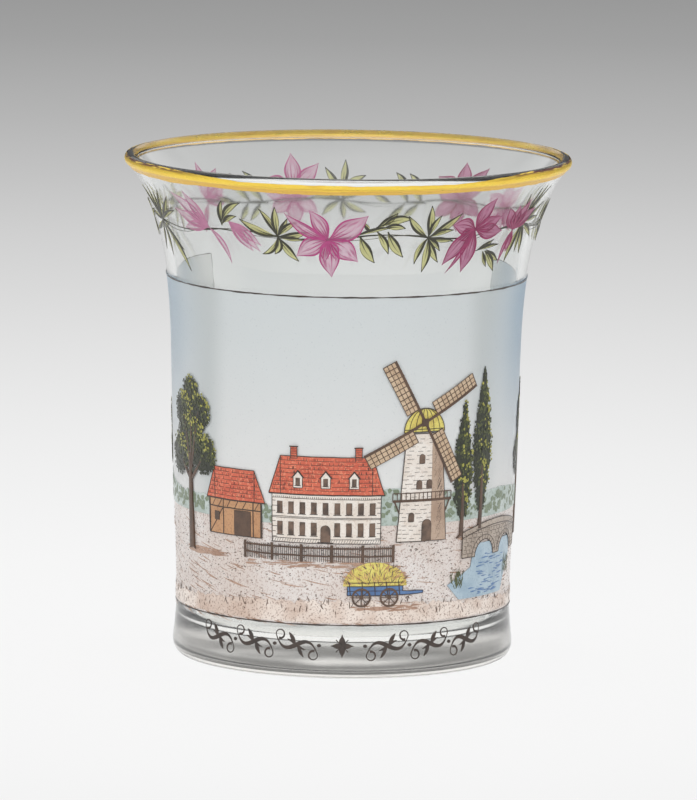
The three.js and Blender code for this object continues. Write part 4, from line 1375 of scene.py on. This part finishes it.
def add_tree(name, kind, layer, angle, foot, height, radius):
    crown_foot = height * TRUNK_SHARES[kind]
    crown_height = height - crown_foot
    lobes = crown_lobes(kind, crown_foot, crown_height, radius)
    spot = (angle, foot)
    patch("painted_" + name, [ragged(*lobe) for lobe in lobes], spot, layer, "dark", name)
    touches = {"dark": [], "mid": [], "light": []}
    for x, z, wide, tall in lobes:
        for _ in range(int(15 * wide * tall)):
            turn, reach = random.uniform(0, 2 * math.pi), math.sqrt(random.uniform(0, 1.16))
            lit = reach * math.sin(turn + 0.6) + random.uniform(-0.3, 0.3)
            tone = "light" if lit > 0.6 else "mid" if lit > 0.1 else "dark"
            if tone == "light" and random.random() < 0.3:
                tone = "mid"
            size = random.uniform(0.2, 0.4)
            touches[tone].append((x + wide * reach * math.cos(turn),
                                  z + tall * reach * math.sin(turn), size))
    for i, (tone, places) in enumerate(touches.items()):
        dabs(f"{name}_{tone}_dabs", places, spot, layer + 0.62 + i * 0.22, tone)
    half = 0.35 + radius * 0.06
    bole = swept(0, 0, 90, crown_foot + crown_height * 0.3, random.uniform(-8, 8))
    strokes = [(bole, lambda share: 2 * half * lerp(1.15, 0.6, share))]
    strokes += [(swept(side * half * 0.4, 0.5, -90 + side * 50, 1.4, side * 30, 5), tapered(0.6))
                for side in (-1, 1)]
    if kind == "round":
        fork = bole[10]
        for x, z, _, _ in lobes:
            way = math.degrees(math.atan2(z - fork[1], x - fork[0]))
            strokes.append((swept(*fork, way, math.dist(fork, (x, z)), random.uniform(-24, 24)),
                            tapered(0.7, 0.9, 0.25)))
    lines(name + "_trunk", strokes, spot, layer + 0.45, "timber")
    add_shadow(name, spot, 1.2, int(radius * 3), (-0.3 * radius, 0.8 * radius), (-0.9, 0.3), 2,
               (2, 6), (0.25, 0.5))


def add_trees():
    for name, tree in TREES.items():
        add_tree(name, *tree)
    far = []
    for _ in range(520):
        angle = random.uniform(PANEL_LEFT + LAND_INSET, PANEL_RIGHT - LAND_INSET)
        rise = random.uniform(0.15, 1.0)
        far.append((round_at(angle), lerp(HORIZON, hill_top(angle), rise) - 0.2,
                    random.uniform(0.35, 0.85)))
    dabs("far_woods", far, WHOLE, 1.7, "haze")


EAVES = 0.8
ROOF_HIP = 2.4
TILE = 0.75
WINDOWS_REACH = 8.9
WINDOW_ROWS = [(5.7, 2.2), (1.5, 2.5)]  # each row's height on the wall, and its windows'
DORMERS = (-5.4, 0.0, 5.4)
CHIMNEYS = (-6.2, 6.2)
CHIMNEY_HALF = 0.65
FARMHOUSE = Sizes(angle=-6, foot=26.6, half=10.5, wall=9.4, roof=7.4)
BARN = Sizes(angle=-39.5, foot=26.9, half=6.5, wall=6.8, roof=6.2)


def roof_edge(house, share):
    """How far from the middle a roof reaches at a share of its height."""
    return house.half + EAVES - ROOF_HIP * share


def tile_lines(house):
    """Rows of tiles, broken here and there."""
    strokes = []
    rows = int(house.roof / TILE)
    for i in range(1, rows):
        z = i / rows * house.roof
        reach = roof_edge(house, i / rows) - 0.3
        for left, right in broken(-reach, reach - 1, (1.5, 5), (0.15, 0.7)):
            strokes.append(level(left, min(right, reach), z, 0.1))
        for _ in range(int(reach * 2.2)):
            strokes.append(upright(random.uniform(-reach, reach), z, z + 0.5, 0.08))
    return strokes


def window(x, low, width, height):
    """A window's dark pane, and its frame and sill."""
    pane = box_points(x - width / 2, low, x + width / 2, low + height)
    return pane, [pen_round(pane, 0.12), level(x - width * 0.75, x + width * 0.75, low - 0.12)]


def add_house_base(name, house, wall_colour):
    """A house's wall and its tiled roof. Gives the places of the two."""
    spot, roof_spot = (house.angle, house.foot), (house.angle, house.foot + house.wall)
    wall = box_points(-house.half, 0, house.half, house.wall - 0.02)
    patch(f"painted_{name}_wall", [wall], spot, 2, wall_colour, name + "_wall")
    eaves, ridge = roof_edge(house, 0), roof_edge(house, 1)
    outline = [(-eaves, 0), (eaves, 0), (ridge, house.roof), (-ridge, house.roof)]
    patch(f"painted_{name}_roof", [outline], roof_spot, 2, "red", name + "_roof")
    strokes = [pen_round(outline, 0.2), level(-eaves, eaves, 0, 0.3), *tile_lines(house)]
    strokes += [upright(side * ridge, house.roof, 0, 0.14) for side in (-1, 1)]
    lines(name + "_roof_lines", strokes, roof_spot, 2.9, "ink")
    return spot, roof_spot


def add_farmhouse():
    spot, roof_spot = add_house_base("farmhouse", FARMHOUSE, "cream")
    half, roof = FARMHOUSE.half, FARMHOUSE.roof
    panes, strokes = [], [pen_round(box_points(-half, 0, half, FARMHOUSE.wall), 0.18)]
    for x in spread(-WINDOWS_REACH, WINDOWS_REACH, 8):
        for low, tall in WINDOW_ROWS[:1] if abs(x) < 0.5 else WINDOW_ROWS:
            pane, frame_lines = window(x, low, 1.0, tall)
            panes.append(pane)
            strokes += frame_lines
    door = arched(0, 0.3, 2.6, 0.9, 20, 6)
    panes.append(door)
    strokes += [pen_round(door, 0.16), upright(0, 0.3, 3.3, 0.1), level(-1.5, 1.5, 0.15, 0.2)]
    strokes += [level(-half, half, z, 0.12) for z in (4.75, 5.0, 0.8, 8.6)]
    for z in range(1, 9):
        quoin = half - 0.7 - 0.3 * (z % 2)
        strokes += [level(side * half, side * quoin, z, 0.12) for side in (-1, 1)]
    for i in range(42):
        strokes.append(pen((0.5 * i - half, 0.1), (0.5 * i - half + 0.3, 0.75), 0.07))
    strokes += [upright(0.4 * i - half, 8.65, 9.0, 0.1) for i in range(53)]
    patch("farmhouse_windows", panes, spot, 2.75, "sepia")
    lines("farmhouse_lines", strokes, spot, 2.95, "ink")
    cream, dark, edges = [], [], []
    for x in DORMERS:
        cream.append([(x - 0.9, 1.3), (x + 0.9, 1.3), (x + 0.9, 3.4), (x, 4.5), (x - 0.9, 3.4)])
        pane, frame_lines = window(x, 1.8, 0.8, 1.4)
        dark.append(pane)
        edges += [*frame_lines, pen_round(cream[-1], 0.14), pen((x - 1.2, 3.2), (x, 4.7), 0.2),
                  pen((x + 1.2, 3.2), (x, 4.7), 0.2)]
    stacks = []
    for x in CHIMNEYS:
        left, right, top = x - CHIMNEY_HALF, x + CHIMNEY_HALF, roof + 1.9
        stacks.append(box_points(left, roof - 0.4, right, top))
        edges += [pen_round(stacks[-1], 0.15), level(left - 0.2, right + 0.2, top, 0.25)]
        edges += [level(left, right, top - 0.45 * i, 0.08) for i in range(1, 5)]
    patch("farmhouse_dormers", cream, roof_spot, 2.8, "cream")
    patch("dormer_windows", dark, roof_spot, 3.3, "sepia")
    patch("farmhouse_chimneys", stacks, roof_spot, 2.2, "red")
    lines("dormer_lines", edges, roof_spot, 3.8, "ink")


def add_barn():
    spot, _ = add_house_base("barn", BARN, "ochre")
    half, wall = BARN.half, BARN.wall
    doors = [box_points(0.2, 0.1, 4.0, 4.9), box_points(-4.9, 2.6, -3.7, 4.2)]
    strokes = [pen_round(box_points(-half, 0, half, wall), 0.2)]
    strokes += [pen_round(door, 0.16) for door in doors]
    strokes += [upright(2.1, 0.1, 4.9, 0.16), pen((0.2, 0.3), (2.1, 4.7), 0.12),
                pen((4.0, 0.3), (2.1, 4.7), 0.12)]
    strokes += [upright(x, 0, wall, 0.24) for x in (-half + 0.2, -2.6, 4.6, half - 0.2)]
    strokes += [level(-half, half, 5.2, 0.24), pen((-6.3, 0), (-2.6, 5.2), 0.2)]
    strokes += [pen((x, 5.3), (x + 0.9, wall), 0.14) for x in (-5.6, -3.9, -1.6, 0.3, 2.2, 5)]
    patch("barn_doors", doors, spot, 2.75, "timber")
    lines("barn_lines", strokes, spot, 2.95, "ink")


FENCE = Sizes(angle=-9, foot=22.9, half=15, height=3.4)


def add_fence():
    half, height, spot = FENCE.half, FENCE.height, (FENCE.angle, FENCE.foot)
    strokes = []
    for share in (0.3, 0.75):
        rail, width = bar((-half, height * share + 0.2), (half, height * share + 0.2), 0.36)
        strokes.append((shaken(rail, 0.04), width))
    strokes += [bar((x, 0), (x, height), 0.55) for x in spread(-half + 0.25, half - 0.25, 5)]
    lines("painted_fence", strokes, spot, 3, "timber", "rail_fence")
    pales = []
    for i in range(75):
        x = -half + 0.4 * i + random.uniform(-0.06, 0.06)
        pales.append(upright(x, 0.1, height * random.uniform(0.88, 0.96), 0.13))
    lines("fence_pales", pales, spot, 3.1, "ink")
    add_shadow("fence", spot, 1.3, 46, (-half, half - 2), (-1.3, 0.0), 3, (1.5, 4), 0.3)


MILL = Sizes(angle=27, foot=26.8, foot_radius=5.3, head_radius=3.7, height=21, courses=26,
             gallery=8.0, cap=4.6, brim=0.6)
MILL_WINDOWS = [(-0.9, 10.2), (1.2, 10.2), (-0.4, 15.2), (-2.4, 3.9)]
SAIL = Sizes(length=13.6, width=2.7, arm=0.6, bare=3.0, turn=28)


def add_mill():
    angle, foot, height = MILL.angle, MILL.foot, MILL.height
    low_half, high_half = MILL.foot_radius, MILL.head_radius
    spot = (angle, foot)

    def edge(z):
        return lerp(low_half, high_half, z / height)

    tower = [(-low_half, 0), (low_half, 0), (high_half, height), (-high_half, height)]
    patch("painted_tower", [tower], spot, 2, "cream", "mill_tower")
    dusk = [(0.35 * low_half, 0), (low_half, 0), (high_half, height), (0.45 * high_half, height)]
    patch("tower_shade", [dusk], spot, 2.62, "shade")
    strokes = [pen_round(tower, 0.2)]
    for row in range(1, MILL.courses):
        z = row * height / MILL.courses
        reach = edge(z)
        for left, right in broken(random.uniform(0, 1) - reach, reach - 0.8, (0.6, 1.5),
                                  lambda x: (0.2, 1.6 if x < 0 else 0.7)):
            sag = 0.25 * (1 - (left / reach) ** 2)
            strokes.append(level(left, min(right, reach), z - sag, 0.09))
    # Hatching over the right side of the tower, which is painted shade
    heights = [random.uniform(0, height - 1.5) for _ in range(90)]
    places = [(random.uniform(0.5, 0.86) * edge(z), z) for z in heights]
    strokes += [pen((x, z), (x + 0.5, z + 1.1), 0.09) for x, z in places]
    openings = [arched(x, z, z + 1.2, 0.55, 30, 4) for x, z in MILL_WINDOWS]
    openings.append(arched(0.9, 0, 3.2, 1.0, 30, 6))
    strokes += [pen_round(hole, 0.15) for hole in openings]
    patch("tower_openings", openings, spot, 2.9, "sepia")
    lines("tower_lines", strokes, spot, 3.1, "ink")
    deck, hand = MILL.gallery, MILL.gallery + 1.5
    reach = edge(deck) + 1.5
    rails = [bar((-reach, deck), (reach, deck), 0.55), bar((-reach, hand), (reach, hand), 0.2)]
    rails += [bar((x, deck), (x, hand), 0.16) for x in spread(-reach, reach, 14)]
    rails += [bar((side * reach * 0.95, deck), (side * edge(5.6), 5.6), 0.3) for side in (-1, 1)]
    lines("mill_gallery", rails, spot, 3.3, "timber")
    cap_foot = foot + height + 0.3
    cap_half = high_half + MILL.brim
    dome = [(cap_half * x, MILL.cap * z) for x, z in arc(0, 0, 1, 0, 180, 20)]
    patch("painted_cap", [dome], (angle, cap_foot), 2, "yellow", "mill_cap")
    ribs = [pen_round(dome, 0.2), level(-cap_half, cap_half, 0.5)]
    for share in (-0.75, -0.45, -0.15, 0.15, 0.45, 0.75):
        ribs.append(([(cap_half * share * x, MILL.cap * z) for x, z in arc(0, 0, 1, 0, 81, 9)], 0.14))
    lines("cap_lines", ribs, (angle, cap_foot), 2.9, "ink")
    hub_spot = (angle, cap_foot + MILL.cap * 0.4)
    cloths, laths = [], []
    for turn in range(SAIL.turn, SAIL.turn + 360, 90):
        cloths.append(turned_by(box_points(SAIL.bare, 0, SAIL.length, SAIL.width), turn))
        bars = [bar((0, 0), (SAIL.length, 0), SAIL.arm)]
        for share in (0.35, 0.68, 1.0):
            up = SAIL.width * share
            bars.append(bar((SAIL.bare, up), (SAIL.length, up), 0.16))
        bars += [bar((x, -0.3), (x, SAIL.width), 0.2) for x in spread(SAIL.bare, SAIL.length, 10)]
        laths += [(turned_by(line, turn), width) for line, width in bars]
    patch("sail_cloth", cloths, hub_spot, 3, "cloth", "mill_sails")
    laths.append((along(box_points(-0.5, -0.5, 0.5, 0.5) + [(-0.5, -0.5)]), 0.7))
    lines("sail_laths", laths, hub_spot, 3.9, "timber")


BRIDGE = Sizes(angle=63, foot=22.6, half=11, side=5, crown=6.8, arch=3.1, ring=0.9, pier=2.4)
STREAM_FALL = 8


def add_bridge():
    half, side, arch = BRIDGE.half, BRIDGE.side, BRIDGE.arch
    spot = (BRIDGE.angle, BRIDGE.foot)
    span = arch + BRIDGE.pier / 2
    middles = (-span, span)

    def deck_top(x):
        return lerp(BRIDGE.crown, side, (x / half) ** 2)

    deck = [(-half, 0), *arc(-span, 0, arch, 180, 0, 12), *arc(span, 0, arch, 180, 0, 12),
            (half, 0), *[(x, deck_top(x)) for x in spread(half, -half, 16)]]
    patch("painted_bridge", [deck], spot, 3, "stone", "stone_bridge")
    strokes = [pen_round(deck, 0.18)]
    ledge = [(x, deck_top(x) - 1.1) for x in spread(-half, half, 20)]
    strokes.append((shaken(ledge, 0.03), 0.18))
    for x in middles:
        strokes.append((arc(x, 0, arch + BRIDGE.ring, 175, 5, 14), 0.12))
        inner, outer = arc(x, 0, arch, 0, 180, 12), arc(x, 0, arch + BRIDGE.ring, 0, 180, 12)
        strokes += [pen(a, b, 0.1) for a, b in zip(inner[1:-1], outer[1:-1])]
    for row in range(1, 8):
        z = row * 0.75
        for left, right in broken(-half + random.uniform(0, 0.6), half - 0.8, (0.5, 1.4),
                                  (0.1, 0.6)):
            middle = ((left + right) / 2, z)
            clear = min(math.dist(middle, (x, 0)) for x in middles) > arch + 1.2
            if clear and z < deck_top(left) - 0.3:
                strokes += [level(left, right, z, 0.09), upright(right, z, z - 0.6, 0.08)]
    lines("bridge_lines", strokes, spot, 3.95, "ink")
    bank, fall = span + arch, STREAM_FALL
    water = [(-bank, side / 2), (-bank - 1, -fall * 0.25), (-bank - 7, -fall * 0.62),
             (-bank - 4, -fall), (bank * 0.4, -fall), (bank * 0.7, -fall * 0.5),
             (bank, -fall * 0.12), (bank, side / 2)]
    patch("painted_stream", [water], spot, 2, "water", "stream")
    ripples, reeds = [], []
    for _ in range(70):
        z = random.uniform(-fall + 0.3, 0.2)
        x = lerp(0, -4.5, -z / fall) + random.uniform(-0.75, 0.6) * bank
        ripples.append(dash(x, z, 0, (1, 3), (-20, 20), 5, (0.14, 0.3)))
    lines("stream_ripples", ripples, spot, 2.8, "blue")
    for _ in range(60):
        x, z = random.choice(((bank * 0.75, -fall * 0.45), (-bank - 4.5, -4.5)))
        reeds.append(dash((x - 1.6, x + 1.6), (z - 1.4, z + 1.4), (60, 120), (1, 2.2), 20, 4, 0.2))
    lines("stream_reeds", reeds, spot, 2.9, "mid")


CART = Sizes(angle=11, foot=14.2, half=5.4, low=2.3, bed=1.8, wheel=1.9, load=4.6)


def add_cart():
    half, low, wheel = CART.half, CART.low, CART.wheel
    spot = (CART.angle, CART.foot)
    top = low + CART.bed
    bed = [(-half, low), (half, low), (half + 4.2, low + 0.2), (half + 4.2, low + 0.7),
           (half, low + 0.8), (half, top), (-half, top)]
    patch("painted_bed", [bed], spot, 2, "blue", "cart_bed")
    strokes = [pen_round(bed, 0.18), level(-half, half, low + 0.9, 0.12)]
    strokes += [pen((x, low), (x - 0.25, top + 0.9), 0.18) for x in (-4.8, -2.4, 0, 2.4, 4.8)]
    strokes.append(level(-half - 0.2, half + 0.2, top + 0.7, 0.16))
    lines("cart_lines", strokes, spot, 3.2, "ink")
    load_half = half + 0.8
    load = [(load_half * x, top + 0.02 + CART.load * z * random.uniform(0.96, 1.03))
            for x, z in arc(0, 0, 1, 0, 180, 22)]
    patch("painted_hay", [load], spot, 2, "yellow", "hay_load")
    stalks = []
    for _ in range(150):
        x = random.uniform(-0.95, 0.95)
        z = random.uniform(0, 0.93) * math.sqrt(1 - x * x)
        stalks.append(dash(x * load_half, top + 0.1 + (CART.load - 0.2) * z,
                           (50 - x * 60, 130 - x * 60), (0.7, 1.6), (-50, 50), 4, 0.15))
    dark = stalks[::3]
    lines("hay_stalks", [s for i, s in enumerate(stalks) if i % 3], spot, 2.8, "ochre")
    lines("hay_shade", dark, spot, 2.9, "sepia")
    for word, x in (("rear", -half / 2), ("front", half / 2)):
        rim = arc(x, wheel, wheel - 0.22, 0, 360, 24)
        spokes = [(rim, 0.42), *[bar((x, wheel), p, 0.2) for p in rim[:24:3]],
                  (arc(x, wheel, 0.22, 0, 360, 8), 0.4)]
        lines(f"painted_wheel_{word}", spokes, spot, 3.2, "timber", f"cart_wheel_{word}")
    add_shadow("cart", spot, 1.6, 34, (-half, half + 2), (-0.8, 0.25), 1, (1.5, 4), 0.35)


def add_ground_strokes():
    """Ruts, tufts and stones over the painted ground."""
    ruts, fine, tufts = [], [], []
    for _ in range(360):
        angle = random.uniform(-122, 114)
        z = PANEL_LOW + 0.8 + 18 * random.random() ** 2.6
        slope = 0.12 * angle - 6
        ruts.append(dash(round_at(angle), z, (slope + 4, slope - 4), (2, 7), 8, 6, (0.14, 0.34)))
    for _ in range(1500):
        angle = random.uniform(-125, 118)
        z = random.uniform(PANEL_LOW + 0.6, HORIZON - 1.5)
        stroke = swept(round_at(angle), z, picked((-30, 30)), picked((0.15, 0.5)), 8, 2)
        fine.append((stroke, picked((0.12, 0.2))))
    for _ in range(130):
        angle = random.uniform(-124, 117)
        z = bank_top(angle) + random.uniform(-2.6, 0.3)
        tufts.append(dash(round_at(angle), z, (60, 125), (0.6, 1.7), (-40, 40), 4, (0.14, 0.26)))
    lines("ground_ruts", ruts, WHOLE, 0.55, "rut")
    lines("ground_strokes", fine, WHOLE, 0.7, "sepia")
    lines("bank_tufts", tufts, WHOLE, 1.75, "timber")


add_camera()
add_floor()
add_light()
add_glass()
add_gilding()
add_field()
add_outline()
add_trees()
add_farmhouse()
add_barn()
add_fence()
add_mill()
add_bridge()
add_cart()
add_ground_strokes()
add_garland()
add_scrolls()

bpy.context.view_layer.update()
